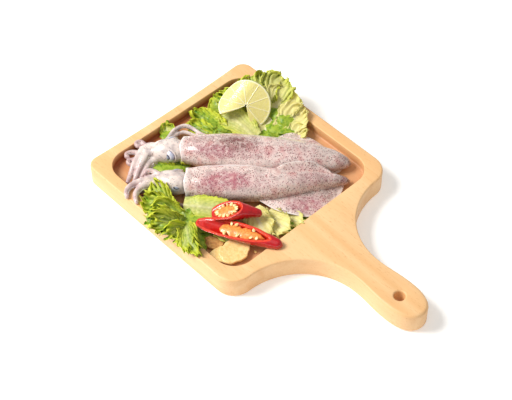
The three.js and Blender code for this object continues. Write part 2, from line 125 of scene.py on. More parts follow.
def soft(weight: float, radius: Row, depth: float) -> dict[str, Any]:
    """Socket values of flesh that light enters.

    Args:
        weight: Share of the light that enters.
        radius: How far red, green and blue reach in it, as shares of the depth.
        depth: That depth in millimetres.

    Returns:
        Values by socket name.
    """
    return {"Subsurface Weight": weight, "Subsurface Radius": radius, "Subsurface Scale": depth * MM}


def sweep(rows: int, sides: int, end: float = 1.0) -> tuple[Array, Array]:
    """Places from 0 to end down the rows, and angles once round across them."""
    turn = np.linspace(0, 2 * np.pi, sides, endpoint=False)
    return tuple(np.meshgrid(np.linspace(0, end, rows), turn, indexing="ij"))


def shifted(points: Array, *steps: tuple[Array, Array]) -> Array:
    """Points moved by steps, each a direction and how far along it for every point."""
    for way, far in steps:
        points = points + way * np.asarray(far)[..., None]
    return points


def carried(points: Array, middle: Point | Vector, *turns: tuple[float, str]) -> Array:
    """Moves points from a piece's own place to the frame.

    Args:
        points: Points about the piece's own origin.
        middle: Where that origin goes.
        turns: Angles with the axes they go round, the last one done first.

    Returns:
        Points in the frame.
    """
    move = Matrix.Translation(middle)
    for angle, axis in turns:
        move = move @ Matrix.Rotation(angle, 4, axis)
    m = np.array(move)
    return points @ m[:3, :3].T + m[:3, 3]


def paint(mesh: bpy.types.Mesh, name: str, values: Array) -> None:
    """Stores a named value on each point of a mesh."""
    mesh.attributes.new(name, "FLOAT", "POINT").data.foreach_set("value", values.astype(np.float32))


def smooth(low: float, high: float, value: Array) -> Array:
    """Smooth step of value from 0 at low to 1 at high."""
    t = np.clip((value - low) / (high - low), 0.0, 1.0)
    return t * t * (3 - 2 * t)


def rough(points: Array, size: float, seed: float = 0.0) -> Array:
    """Smooth random values between about -1 and 1.

    Args:
        points: Rows of three coordinates.
        size: Distance over which the value changes, in the unit of points.
        seed: Shifts the pattern.

    Returns:
        One value for each row.
    """
    shift = Vector((seed * 7.13, seed * 3.71, seed * 5.37))
    return np.array([noise.noise(Vector(p) / size + shift) for p in points])


def row_at(row: Row, v: Array) -> Array:
    """Values at places v from 0 to 1 along a row of evenly spaced sizes, joined smoothly."""
    place = np.clip(v, 0, 1) * (len(row) - 1)
    low = np.minimum(place.astype(int), len(row) - 2)
    t = place - low
    t = (t * t * (3 - 2 * t) + t) / 2
    sizes = np.array(row)
    return sizes[low] * (1 - t) + sizes[low + 1] * t


def unit(vectors: Array) -> Array:
    """Vectors scaled to length 1 along the last axis."""
    return vectors / np.maximum(np.linalg.norm(vectors, axis=-1, keepdims=True), 1e-12)


class Path:
    """Smooth line through points, measured along its length."""

    STEPS = 40

    def __init__(self, points: list[Point] | Array) -> None:
        """Joins the points with a centripetal Catmull-Rom line.

        Args:
            points: The places that the line passes through, in order.
        """
        p = np.array(points, float)
        p = np.vstack([2 * p[0] - p[1], p, 2 * p[-1] - p[-2]])
        line = [p[1][None]]
        for a, b, c, d in zip(p[:-3], p[1:-2], p[2:-1], p[3:], strict=True):
            t1 = np.linalg.norm(b - a) ** 0.5
            t2 = t1 + np.linalg.norm(c - b) ** 0.5
            t3 = t2 + np.linalg.norm(d - c) ** 0.5
            t = np.linspace(t1, t2, self.STEPS + 1)[1:, None]
            a1 = (t1 - t) / t1 * a + t / t1 * b
            a2 = (t2 - t) / (t2 - t1) * b + (t - t1) / (t2 - t1) * c
            a3 = (t3 - t) / (t3 - t2) * c + (t - t2) / (t3 - t2) * d
            b1 = (t2 - t) / t2 * a1 + t / t2 * a2
            b2 = (t3 - t) / (t3 - t1) * a2 + (t - t1) / (t3 - t1) * a3
            line.append((t2 - t) / (t2 - t1) * b1 + (t - t1) / (t2 - t1) * b2)
        self.line = np.vstack(line)
        run = np.concatenate([[0], np.cumsum(np.linalg.norm(np.diff(self.line, axis=0), axis=1))])
        self.length = float(run[-1])
        self.run = run / run[-1]

    def at(self, v: Array) -> Array:
        """Points at shares v of the length."""
        return np.stack([np.interp(v, self.run, self.line[:, i]) for i in range(3)], axis=-1)

    def heading(self, v: Array) -> Array:
        """Unit directions of the line at shares v of the length."""
        step = 0.004
        return unit(self.at(np.clip(v + step, 0, 1)) - self.at(np.clip(v - step, 0, 1)))


# ---------------------------------------------------------------- meshes
@dataclass
class Shell:
    """Points in millimetres, faces and named values on the points, added to piece by piece."""

    points: list[Array] = field(default_factory=list)
    faces: list[Array] = field(default_factory=list)
    values: dict[str, list[Array]] = field(default_factory=dict)
    count: int = 0

    def put(self, points: Array, faces: Array, **values: Array | float) -> None:
        """Adds a patch of mesh.

        Args:
            points: Rows of x, y, z.
            faces: Rows of point numbers within this patch.
            values: Named values, one for each point or one for all.
        """
        self.points.append(points)
        self.faces.append(faces + self.count)
        for name in set(values) | set(self.values):
            rows = self.values.setdefault(name, [np.zeros(self.count)] if self.count else [])
            rows.append(np.broadcast_to(np.asarray(values.get(name, 0.0), float), len(points)))
        self.count += len(points)

    def grid(self, points: Array, wrap: bool = False, **values: Array | float) -> None:
        """Adds a sheet of points.

        Args:
            points: Array of rows, columns and 3 coordinates.
            wrap: Whether the last column joins the first.
            values: Named values, each an array of rows and columns or one number.
        """
        rows, cols = points.shape[:2]
        flat = {k: np.broadcast_to(v, (rows, cols)).ravel() for k, v in values.items()}
        self.put(points.reshape(-1, 3), quads(rows, cols, wrap), **flat)

    def mesh(self, name: str) -> bpy.types.Mesh:
        """Makes the Blender mesh.

        Args:
            name: Name of the mesh.

        Returns:
            The mesh in metres, smooth shaded, with its values as point attributes.
        """
        mesh = bpy.data.meshes.new(name)
        faces = [tuple(int(i) for i in f) for patch in self.faces for f in patch]
        mesh.from_pydata((np.vstack(self.points) * MM).tolist(), [], faces)
        for key, rows in self.values.items():
            paint(mesh, key, np.concatenate(rows))
        work = bmesh.new()
        work.from_mesh(mesh)
        bmesh.ops.remove_doubles(work, verts=work.verts, dist=1e-6)
        bmesh.ops.recalc_face_normals(work, faces=work.faces)
        work.to_mesh(mesh)
        work.free()
        mesh.shade_smooth()
        return mesh

    def piece(self, name: str, finish: "Finish", slot: str, *nodes: str) -> Piece:
        """Makes the piece.

        Args:
            name: Name of the piece.
            finish: What it is made of.
            slot: Name of a material slot; not used.
            nodes: CAD nodes that the piece stands for.

        Returns:
            The piece.
        """
        return stand_in(name, self.mesh(name), finish, nodes)


def quads(rows: int, cols: int, wrap: bool = False) -> Array:
    """Faces of a sheet of points.

    Args:
        rows: Number of rows of points.
        cols: Number of points in a row.
        wrap: Whether the last column joins the first.

    Returns:
        Rows of four point numbers.
    """
    across = cols if wrap else cols - 1
    r, c = np.meshgrid(np.arange(rows - 1), np.arange(across), indexing="ij")
    r, c = r.ravel(), c.ravel()
    n = (c + 1) % cols
    return np.stack([r * cols + c, r * cols + n, (r + 1) * cols + n, (r + 1) * cols + c], axis=1)


def stand_in(
    name: str, mesh: bpy.types.Mesh, finish: "Finish", nodes: tuple[str, ...]
) -> Piece:
    """Puts a finished piece in the scene and ties it to the frame.

    Args:
        name: Name of the piece.
        mesh: Its mesh, in metres in the frame.
        finish: What it is made of.
        nodes: CAD nodes that the piece stands for.

    Returns:
        The piece.
    """
    piece = bpy.data.objects.new(name, mesh)
    bpy.context.scene.collection.objects.link(piece)
    mesh.materials.append(material_of(finish))
    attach(piece, BODY)
    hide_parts(*nodes)
    LOG.info("%s: %d faces, stands for %s", name, len(mesh.polygons), ", ".join(nodes) or "none")
    return piece


# ---------------------------------------------------------------- finishes
class Finish:
    """A named real material whose surface is drawn by nodes."""

    name = "finish"

    def shade(self, tree: Tree, where: Socket) -> Node:
        """Builds the surface shader.

        Args:
            tree: The material's node tree.
            where: Position in metres in the frame.

        Returns:
            The shader node whose first output is the surface.
        """
        raise NotImplementedError

    def surface(
        self, tree: Tree, colour: Node | str, height: Node, relief: Row, sockets: dict[str, Any],
    ) -> Node:
        """Joins colour and relief in one shader.

        Args:
            tree: The material's node tree.
            colour: Node that gives the colour, or one colour.
            height: Node that gives the relief.
            relief: Strength of the relief, and its depth in millimetres.
            sockets: Roughness, coat and so on.

        Returns:
            The shader node.
        """
        bump = add(tree, "Bump", {"Strength": relief[0], "Distance": relief[1] * MM, "Height": height})
        return add(tree, "BsdfPrincipled", {**sockets, "Base Color": colour, "Normal": bump})


@cache
def material_of(finish: Finish) -> bpy.types.Material:
    """Makes a finish's material once.

    Args:
        finish: The finish.

    Returns:
        The Blender material.
    """
    material = bpy.data.materials.new(finish.name)
    material.use_nodes = True
    tree = material.node_tree
    tree.nodes.clear()
    where = add(tree, "TexCoord").outputs["Object"]
    add(tree, "OutputMaterial", {"Surface": finish.shade(tree, where)})
    return material


@dataclass(frozen=True)
class OiledBeech(Finish):
    """Beech, planed and rubbed with food oil: pale, satin, with fine flecks along the grain."""

    name = "oiled beech"
    fibre: float = 1.1 * MM  # spacing of the fine lines across the grain
    band: float = 16 * MM  # width of the growth bands
    fleck: float = 0.9 * MM  # width of a ray fleck, drawn wider than real so that it shows
    pale: str = "#f2c792"
    mid: str = "#e9b67c"
    dark: str = "#c58548"
    recess_shade: str = "#b5765a"  # painted shade: darkens the tray's floor and low walls, most at the back wall

    def shade(self, tree: Tree, where: Socket) -> Node:
        """Grain runs along X; the flecks are short dark dashes."""
        along = add(tree, "Mapping", {"Scale": (0.06, 1.0, 1.0), "Vector": where})
        dash = add(tree, "Mapping", {"Scale": (0.22, 1.0, 1.0), "Vector": where})
        bands = {"Scale": 1 / self.band, "Detail": 3.0, "Distortion": 0.6, "Vector": along}
        lines = add(tree, "TexNoise", {"Scale": 1 / self.fibre, "Detail": 2.0, "Vector": along})
        flecks = add(tree, "TexNoise", {"Scale": 1 / self.fleck, "Detail": 1.0, "Vector": dash})
        stops = [(0.35, self.mid), (0.62, self.pale)]
        colour = add(tree, "ValToRGB", {"stops": stops, "Fac": add(tree, "TexNoise", bands)})
        for marks, low, high, most, tint in (
            (lines, 0.35, 0.7, 0.35, self.mid), (flecks, 0.62, 0.76, 0.4, self.dark),
        ):
            share = {"From Min": low, "From Max": high, "To Max": most, "Value": marks}
            colour = add(tree, "Mix", {**COLOUR, 0: add(tree, "MapRange", share), 6: colour, 7: tint})
        # painted shade: the tray's floor and low walls are multiplied darker, most at the back wall
        damp = add(tree, "Attribute", {"attribute_name": "damp"}).outputs["Fac"]
        painted_shade_mix = {**COLOUR, "blend_type": "MULTIPLY", 0: damp, 6: colour, 7: self.recess_shade}
        satin = {"Roughness": 0.5, "IOR": 1.5, "Coat Weight": 0.08, "Coat Roughness": 0.35}
        return self.surface(tree, add(tree, "Mix", painted_shade_mix), lines, (0.12, 0.2), satin)


@dataclass(frozen=True)
class WetSquidSkin(Finish):
    """Raw squid skin, rinsed and still wet: translucent grey-pink with specks of pigment.

    The specks are 0.3 mm on the animal and are drawn about three times as wide so that they show.
    """

    name = "wet squid skin"
    speck: float = 1.7 * MM  # spacing of the pigment specks
    cloud: float = 9 * MM  # size of the soft pink clouds
    crease: float = 1.3 * MM
    pale: str = "#ebd8cf"
    grey: str = "#cdb9b1"
    pink: str = "#d5a8a1"
    blush: str = "#a34c60"
    dusk: str = "#7a5650"
    blush_speck: str = "#933348"
    dark_speck: str = "#5e2a28"
    white: str = "#efe6e2"

    def shade(self, tree: Tree, where: Socket) -> Node:
        """Stains come from the values painted on the mesh; specks thicken where it is stained. The pale value
        also holds painted highlight lines.
        """
        blush, dusk, bare = (
            add(tree, "Attribute", {"attribute_name": name}).outputs["Fac"]
            for name in ("blush", "dusk", "bare")
        )
        clouds = add(tree, "TexNoise", {"Scale": 1 / self.cloud, "Detail": 4.0, "Vector": where})
        stops = [(0.34, self.grey), (0.5, self.pale), (0.68, self.pink)]
        colour = add(tree, "ValToRGB", {"stops": stops, "Fac": clouds})
        uneven = add(tree, "TexNoise", {"Scale": 2.6 / self.cloud, "Detail": 3.0, "Vector": where})
        lift = {"From Min": 0.3, "From Max": 0.6, "To Min": 0.35, "To Max": 1.15, "Value": uneven}
        lift = add(tree, "MapRange", lift)
        for stain, tint, share in ((blush, self.blush, 0.62), (dusk, self.dusk, 0.55)):
            part = add(tree, "Math", {"operation": "MULTIPLY", 0: stain, 1: lift})
            part = add(tree, "Math", {"operation": "MULTIPLY", "use_clamp": True, 0: part, 1: share})
            colour = add(tree, "Mix", {**COLOUR, 0: part, 6: colour, 7: tint})
        for spacing, tint, stain, size, share, strength in (
            (self.speck, self.dark_speck, dusk, 0.36, 0.5, 0.85),
            (self.speck * 0.8, self.blush_speck, blush, 0.38, 0.5, 0.9),
            (self.speck * 1.6, self.dark_speck, dusk, 0.26, 0.45, 0.85),
        ):
            cells = add(tree, "TexVoronoi", {"Scale": 1 / spacing, "Vector": where})
            chance = add(tree, "SeparateColor", {0: cells.outputs["Color"]})
            wanted = add(tree, "Math", {"operation": "MULTIPLY_ADD", 0: stain, 1: 0.7, 2: share})
            there = add(tree, "Math", {"operation": "LESS_THAN", 0: chance, 1: wanted})
            spot = {"From Min": size * 0.55, "From Max": size, "To Min": strength, "To Max": 0.0}
            spot = add(tree, "MapRange", {**spot, "Value": cells})
            mask = add(tree, "Math", {"operation": "MULTIPLY", 0: there, 1: spot})
            colour = add(tree, "Mix", {**COLOUR, 0: mask, 6: colour, 7: tint})
        # pale skin, and painted highlight where thin pale bands run along the upper edge
        colour = add(tree, "Mix", {**COLOUR, 0: bare, 6: colour, 7: self.white})
        creases = add(tree, "TexNoise", {"Scale": 1 / self.crease, "Detail": 3.0, "Vector": where})
        wet = {"Roughness": 0.36, "IOR": 1.4, "Coat Weight": 0.8, "Coat Roughness": 0.1, "Coat IOR": 1.4}
        wet |= soft(0.2, (1.0, 0.6, 0.5), 1.6)
        return self.surface(tree, colour, creases, (0.3, 0.35), wet)


@dataclass(frozen=True)
class WetSquidFlesh(Finish):
    """Skinned arm and head flesh, wet: milky grey-white, pinkish at the tips, finely dotted."""

    name = "wet squid flesh"
    speck: float = 1.7 * MM  # spacing of the dots, coarser than real so that they show
    cloud: float = 7 * MM
    share: float = 0.55  # how many of the cells hold a dot
    milk: str = "#e2d3ca"
    shade_grey: str = "#b9aaa6"
    tip: str = "#b98f92"
    dot: str = "#55404a"

    def shade(self, tree: Tree, where: Socket) -> Node:
        """Grey hollows come from soft noise, the pink from the value painted on the tips."""
        tip = add(tree, "Attribute", {"attribute_name": "tip"}).outputs["Fac"]
        clouds = add(tree, "TexNoise", {"Scale": 1 / self.cloud, "Detail": 4.0, "Vector": where})
        stops = [(0.36, self.shade_grey), (0.56, self.milk)]
        colour = add(tree, "ValToRGB", {"stops": stops, "Fac": clouds})
        colour = add(tree, "Mix", {**COLOUR, 0: tip, 6: colour, 7: self.tip})
        cells = add(tree, "TexVoronoi", {"Scale": 1 / self.speck, "Vector": where})
        spot = {"From Min": 0.16, "From Max": 0.3, "To Min": 0.75, "To Max": 0.0, "Value": cells}
        chance = add(tree, "SeparateColor", {0: cells.outputs["Color"]})
        there = add(tree, "Math", {"operation": "LESS_THAN", 0: chance, 1: self.share})
        mask = add(tree, "Math", {"operation": "MULTIPLY", 0: there, 1: add(tree, "MapRange", spot)})
        colour = add(tree, "Mix", {**COLOUR, 0: mask, 6: colour, 7: self.dot})
        wet = {"Roughness": 0.38, "IOR": 1.38, "Coat Weight": 0.6, "Coat Roughness": 0.14, "Coat IOR": 1.33}
        wet |= soft(0.3, (1.0, 0.7, 0.6), 1.8)
        return self.surface(tree, colour, clouds, (0.25, 0.5), wet)


@dataclass(frozen=True)
class SquidEye(Finish):
    """Eye of a fresh squid: a silvery blue iris round a dark ring, under a clear wet cornea."""

    name = "squid eye"
    silver: str = "#b9bdd0"
    bright: str = "#eceaf2"
    ring: str = "#2c2436"
    lens: str = "#9aa0b4"
    lid: str = "#8d8290"

    def shade(self, tree: Tree, where: Socket) -> Node:
        """The value on the mesh is the angle from the pupil in half turns."""
        turn = add(tree, "Attribute", {"attribute_name": "turn"}).outputs["Fac"]
        stops = [
            (0.0, self.lens), (0.075, self.lens), (0.1, self.ring), (0.135, self.ring),
            (0.16, self.bright), (0.3, self.silver), (0.42, self.lid), (0.55, self.silver),
        ]
        wet = {"Metallic": 0.25, "Roughness": 0.25, "Coat Weight": 1.0, "Coat Roughness": 0.05}
        colour = add(tree, "ValToRGB", {"stops": stops, "Fac": turn})
        return add(tree, "BsdfPrincipled", {**wet, "Base Color": colour})


@dataclass(frozen=True)
class LettuceLeaf(Finish):
    """Curly lettuce, washed: yellow-green frills, darker blade, whitish ribs and a waxy shine."""

    name = "curly lettuce"
    blister: float = 3.2 * MM  # size of the puckers between the veins
    thin: float = 0.38  # how much of the light comes through
    frill: str = "#e9ee4c"
    fresh: str = "#b2cd30"
    deep: str = "#5b961c"
    rib: str = "#f8f1c4"
    heart: str = "#fdf3a8"

    def shade(self, tree: Tree, where: Socket) -> Node:
        """Rim, rib and tone are painted on the mesh; tone 0 is a pale heart leaf, 1 a dark one. In the
        frills' valleys tone rises and rim falls as painted shade.
        """
        rim, rib, tone = (
            add(tree, "Attribute", {"attribute_name": name}).outputs["Fac"]
            for name in ("rim", "rib", "tone")
        )
        puckers = add(tree, "TexNoise", {"Scale": 1 / self.blister, "Detail": 3.0, "Vector": where})
        darker = {"From Min": 0.42, "From Max": 0.66, "To Max": 0.9, "Value": puckers}
        depth = add(tree, "Math", {"operation": "MULTIPLY", 0: add(tree, "MapRange", darker), 1: tone})
        edge = add(tree, "MapRange", {"From Min": 0.3, "From Max": 0.85, "To Max": 0.95, "Value": rim})
        colour = add(tree, "Mix", {**COLOUR, 0: tone, 6: self.heart, 7: self.fresh})
        for share, tint in ((depth, self.deep), (edge, self.frill), (rib, self.rib)):
            colour = add(tree, "Mix", {**COLOUR, 0: share, 6: colour, 7: tint})
        waxy = {"Roughness": 0.42, "IOR": 1.4, "Coat Weight": 0.1, "Coat Roughness": 0.2}
        blade = self.surface(tree, colour, puckers, (0.5, 0.6), waxy)
        glow = add(tree, "BsdfTranslucent", {"Color": colour})
        return add(tree, "MixShader", {0: self.thin, 1: blade, 2: glow})


@dataclass(frozen=True)
class LimeFlesh(Finish):
    """Freshly cut lime: juicy pale pulp in wedges, white membranes and a thin green rind."""

    name = "cut lime"
    vesicle: float = 0.9 * MM  # width of a juice sac, drawn a little wide so that it shows
    pulp: str = "#eadf9c"
    juice: str = "#e3d77c"
    membrane: str = "#f8f0c6"
    pith: str = "#f6efc4"
    rind: str = "#a9ad48"

    def shade(self, tree: Tree, where: Socket) -> Node:
        """Reach is 0 in the middle and 1 at the rind; web is 1 on a membrane."""
        reach, web = (
            add(tree, "Attribute", {"attribute_name": name}).outputs["Fac"] for name in ("reach", "web")
        )
        sacs = add(tree, "TexVoronoi", {"Scale": 1 / self.vesicle, "Vector": where})
        colour = add(tree, "Mix", {**COLOUR, 0: sacs, 6: self.juice, 7: self.pulp})
        colour = add(tree, "Mix", {**COLOUR, 0: web, 6: colour, 7: self.membrane})
        for low, high, tint in ((0.92, 0.945, self.pith), (0.985, 0.995, self.rind)):
            band = add(tree, "MapRange", {"From Min": low, "From Max": high, "Value": reach})
            colour = add(tree, "Mix", {**COLOUR, 0: band, 6: colour, 7: tint})
        juicy = {"Roughness": 0.28, "IOR": 1.36, "Coat Weight": 0.4, "Coat Roughness": 0.1}
        juicy |= soft(0.4, (1.0, 1.0, 0.4), 2.0)
        return self.surface(tree, colour, sacs, (0.35, 0.4), juicy)


@dataclass(frozen=True)
class CutChilli(Finish):
    """Ripe red chilli, sliced: waxy glossy skin, orange-red wall and a darker wet hollow."""

    name = "cut red chilli"
    skin: str = "#c4101a"
    wall: str = "#e04328"
    hollow: str = "#c31a12"
    streak: float = 2.5 * MM

    def shade(self, tree: Tree, where: Socket) -> Node:
        """Cut is 0 on the skin, 0.5 on the cut wall and 1 in the hollow."""
        cut = add(tree, "Attribute", {"attribute_name": "cut"}).outputs["Fac"]
        stops = [(0.0, self.skin), (0.2, self.skin), (0.4, self.wall), (0.6, self.wall)]
        stops.append((0.9, self.hollow))
        base = add(tree, "ValToRGB", {"stops": stops, "Fac": cut})
        uneven = add(tree, "TexNoise", {"Scale": 1 / self.streak, "Detail": 3.0, "Vector": where})
        light = {"From Min": 0.3, "From Max": 0.7, "To Min": 0.82, "To Max": 1.12, "Value": uneven}
        colour = add(tree, "HueSaturation", {"Value": add(tree, "MapRange", light), "Color": base})
        waxy = {"Roughness": 0.22, "IOR": 1.45, "Coat Weight": 0.6, "Coat Roughness": 0.06}
        waxy |= soft(0.12, (1.0, 0.2, 0.1), 1.5)
        return self.surface(tree, colour, uneven, (0.12, 0.4), waxy)


@dataclass(frozen=True)
class Moist(Finish):
    """Small soft plant parts, cut and moist: one colour broken up by fine fibres."""

    name: str = "moist fibre"
    light: str = "#ffffff"
    shadow: str = "#cccccc"
    fibre: float = 1.4 * MM
    shine: float = 0.3  # roughness

    def shade(self, tree: Tree, where: Socket) -> Node:
        """Fibres are soft noise between the two colours."""
        fibres = add(tree, "TexNoise", {"Scale": 1 / self.fibre, "Detail": 4.0, "Vector": where})
        stops = [(0.36, self.shadow), (0.6, self.light)]
        colour = add(tree, "ValToRGB", {"stops": stops, "Fac": fibres})
        damp = {"Roughness": self.shine, "IOR": 1.42, "Coat Weight": 0.3, "Coat Roughness": 0.12}
        damp |= soft(0.25, (1.0, 0.7, 0.35), 1.5)
        return self.surface(tree, colour, fibres, (0.3, 0.3), damp)


@dataclass(frozen=True)
class StudioPaper(Finish):
    """White seamless paper: matt and even."""

    name = "white seamless paper"
    colour: str = "#f7f6f4"
    tooth: float = 1.0 * MM
    glow: float = 0.3  # lit a little from behind, which keeps shadows on it pale

    def shade(self, tree: Tree, where: Socket) -> Node:
        """A faint tooth keeps it from looking like plastic."""
        tooth = add(tree, "TexNoise", {"Scale": 1 / self.tooth, "Vector": where})
        glow = {"Emission Color": self.colour, "Emission Strength": self.glow}
        return self.surface(tree, self.colour, tooth, (0.05, 0.1), {"Roughness": 0.9, "IOR": 1.45, **glow})


BEECH = OiledBeech()
SKIN = WetSquidSkin()
FLESH = WetSquidFlesh()
EYE = SquidEye()
LEAF = LettuceLeaf()
LIME = LimeFlesh()
CHILLI = CutChilli()
SUCKER = Moist(name="squid suckers", light="#efe4de", shadow="#cdbdb8", shine=0.3)
PLACENTA = Moist(name="chilli placenta", light="#f2a352", shadow="#e77a35", shine=0.35)
SEED = Moist(name="chilli seed", light="#f7e3a6", shadow="#ecc978", shine=0.35)
GINGER = Moist(name="sliced ginger", light="#f3d491", shadow="#e6c078", fibre=2.2 * MM, shine=0.4)
# darker copy of the ginger finish for the third slice: its side, and painted shade
GINGER_SIDE_AND_SHADE = Moist(name="ginger side with painted shade", light="#cf9c5c", shadow="#b07840", fibre=2.2 * MM, shine=0.5)
PAPER = StudioPaper()


# ---------------------------------------------------------------- board
@dataclass
class PaddleBoard:
    """Square tray board with a handle, cut from one plank.

    Its thickness, ends and sides come from the CAD board; the rest are sizes of the outline.
    """

    back_corner: float = 11.0
    front_corner: float = 20.0
    back_bow: float = 2.0  # how far the back edge curves in
    neck: Row = (165.0, 14.2)  # place along X and half width
    grip: Row = (202.0, 17.2)
    pulls: Row = (28.5, 44.0, 14.0, 16.0, 17.0, 11.0)  # how far each curve of the handle runs straight
    tray_half: float = 88.0
    tray_corner: float = 20.0
    tray_floor: float = 12.0
    hole: Row = (203.0, -1.5, 5.0)  # place and radius
    sink: float = 1.7  # flare of the hole's rim
    lip: float = 0.9  # rounding of the tray's upper edge
    fillet: float = 1.6  # and of its foot
    ease_square: float = 1.8  # rounding of the long edges
    ease_tip: float = 3.2  # rounding at the end of the handle

    def bezier(self, *p: Spot, steps: int = 24) -> list[Spot]:
        """Points of a curve.

        Args:
            p: Three or four control points.
            steps: Number of points, the last one left out.

        Returns:
            Points from the first control point on.
        """
        pts = np.array(p, float)
        t = np.linspace(0, 1, steps, endpoint=False)[:, None]
        n = len(pts) - 1
        terms = [math.comb(n, k) * (1 - t) ** (n - k) * t**k * pts[k] for k in range(n + 1)]
        return [tuple(q) for q in sum(terms)]

    def arc(self, x: float, y: float, r: float, start: float, steps: int = 10) -> list[Spot]:
        """Points of a quarter turn.

        Args:
            x: Centre.
            y: Centre.
            r: Radius.
            start: First angle in degrees; the turn is anticlockwise.
            steps: Number of steps.

        Returns:
            Points of the arc, both ends included.
        """
        turns = np.radians(np.linspace(start, start + 90, steps + 1))
        return [(x + r * math.cos(a), y + r * math.sin(a)) for a in turns]

    def outline(self, half: float, tip: float) -> Array:
        """Board outline, anticlockwise.

        Args:
            half: Half the side of the square.
            tip: End of the handle.

        Returns:
            Rows of x, y.
        """
        h, b, f = half, self.back_corner, self.front_corner
        (nx, nw), (gx, gw) = self.neck, self.grip
        bow = 2 * self.back_bow
        line = self.bezier((-h, h - b), (-h + bow, 0), (-h, -h + b), steps=40)
        line += self.arc(-h + b, -h + b, b, 180)
        line += [(x, -h) for x in np.linspace(-h + b, h - f, 30)[1:-1]]
        line += self.arc(h - f, -h + f, f, 270)[:-1]
        flare, sweep_in, to_grip, from_neck, to_tip, blunt = self.pulls
        line += self.bezier((h, -h + f), (h, -h + f + flare), (nx - sweep_in, -nw), (nx, -nw), steps=60)
        line += self.bezier((nx, -nw), (nx + to_grip, -nw), (gx - from_neck, -gw), (gx, -gw))
        line += self.bezier((gx, -gw), (gx + to_tip, -gw), (tip, -blunt), (tip, 0))
        line += self.bezier((tip, 0), (tip, blunt), (gx + to_tip, gw), (gx, gw))
        line += self.bezier((gx, gw), (gx - from_neck, gw), (nx + to_grip, nw), (nx, nw))
        line += self.bezier((nx, nw), (nx - sweep_in, nw), (h, h - f - flare), (h, h - f), steps=60)
        line += self.arc(h - f, h - f, f, 0)
        line += [(x, h) for x in np.linspace(h - f, -h + b, 30)[1:-1]]
        line += self.arc(-h + b, h - b, b, 90)[:-1]
        return np.array(line)

    def rounded_square(self, half: float, corner: float) -> Array:
        """Outline of the tray, anticlockwise, as rows of x, y."""
        c = half - corner
        line = []
        for x, y, start in ((-c, -c, 180), (c, -c, 270), (c, c, 0), (-c, c, 90)):
            line += self.arc(x, y, corner, start, 14)
        full = []
        for a, b in zip(line, line[1:] + line[:1], strict=True):
            steps = max(1, round(math.dist(a, b) / 6))
            full += [tuple(np.array(a) + (np.array(b) - a) * i / steps) for i in range(steps)]
        return np.array(full)

    def inset(self, line: Array, by: Array | float) -> Array:
        """The outline moved inwards.

        Args:
            line: Anticlockwise rows of x, y.
            by: Distance, one for all or one for each point.

        Returns:
            The moved rows.
        """
        along = unit(np.roll(line, -1, axis=0) - np.roll(line, 1, axis=0))
        inward = np.stack([-along[:, 1], along[:, 0]], axis=1)
        return line + inward * np.reshape(np.broadcast_to(by, len(line)), (-1, 1))

    def build(self) -> Piece:
        """Builds the plank, its tray and its hanging hole as one mesh.

        Returns:
            The board piece, which stands for the CAD board.
        """
        _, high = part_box("board")
        half, tip, top = high.y / MM, high.x / MM, high.z / MM
        work = bmesh.new()

        steps = np.radians([0, 18, 36, 54, 72, 90])
        bends = [(1 - math.cos(a), 1 - math.sin(a)) for a in steps]  # a quarter round, in steps

        def ring(line: Array, z: Array | float) -> Ring:
            """Adds a closed row of points at a height."""
            heights = np.broadcast_to(z, len(line))
            spots = np.column_stack([line, heights]) * MM
            return [work.verts.new(spot) for spot in spots.tolist()]

        def wall(rings: list[Ring]) -> None:
            """Joins rows of points with faces."""
            for a, b in zip(rings, rings[1:], strict=False):
                for i in range(len(a)):
                    j = (i + 1) % len(a)
                    work.faces.new((a[i], a[j], b[j], b[i]))

        def lid(rings: list[Ring], normal: float) -> None:
            """Fills the flat face between closed rows of points."""
            edges = []
            for r in rings:
                pairs = [(r[i], r[(i + 1) % len(r)]) for i in range(len(r))]
                edges += [work.edges.get(p) or work.edges.new(p) for p in pairs]
            bmesh.ops.triangle_fill(
                work, edges=edges, use_beauty=True, use_dissolve=False, normal=(0, 0, normal)
            )

        outer = self.outline(half, tip)
        ease = self.ease_square + (self.ease_tip - self.ease_square) * smooth(168, 215, outer[:, 0])
        under = [ring(self.inset(outer, ease * s), ease * c) for c, s in bends]
        over = [ring(self.inset(outer, ease * c), top - ease * s) for c, s in bends]
        wall(under + over)
        tray = self.rounded_square(self.tray_half, self.tray_corner)
        rim = [ring(self.inset(tray, -self.lip * s), top - self.lip * c) for c, s in bends]
        floor = self.tray_floor
        foot = [ring(self.inset(tray, self.fillet * c), floor + self.fillet * s) for c, s in bends]
        wall(rim + foot)
        inner = [ring(self.rounded_square(s, max(s * 0.15, 2.0)), self.tray_floor) for s in (74, 40)]
        lid([foot[-1], inner[0]], 1)
        lid(inner, 1)
        work.faces.new(inner[-1])
        x, y, r = self.hole
        turn = np.linspace(0, 2 * np.pi, 48, endpoint=False)
        circle = np.stack([np.cos(turn), np.sin(turn)], axis=1)
        centre = np.array([x, y])
        bore = [ring(centre + circle * (r + self.sink * s), top - self.sink * c) for c, s in bends]
        bore += [ring(centre + circle * (r + self.sink * s), self.sink * c) for c, s in bends[::-1]]
        wall(bore)
        lid([over[-1], rim[0], bore[0]], 1)
        lid([under[0], bore[-1]], -1)
        bmesh.ops.recalc_face_normals(work, faces=work.faces)
        mesh = bpy.data.meshes.new("paddle_board")
        work.to_mesh(mesh)
        work.free()
        spots = np.array([v.co for v in mesh.vertices]) / MM
        in_tray = np.max(np.abs(spots[:, :2]), axis=1) < self.tray_half + 0.05
        # painted shade on the tray's floor and low walls, fading towards the rim and strongest at the back
        # wall
        damp = in_tray * (1 - smooth(self.tray_floor + 4, top, spots[:, 2]))
        back = 1 - smooth(-self.tray_half, -self.tray_half + 14, spots[:, 0])
        paint(mesh, "damp", damp * (0.5 + 0.5 * back))
        mesh.shade_smooth()
        mesh.set_sharp_from_angle(angle=math.radians(35))
        return stand_in("paddle_board", mesh, BEECH, ("board",))


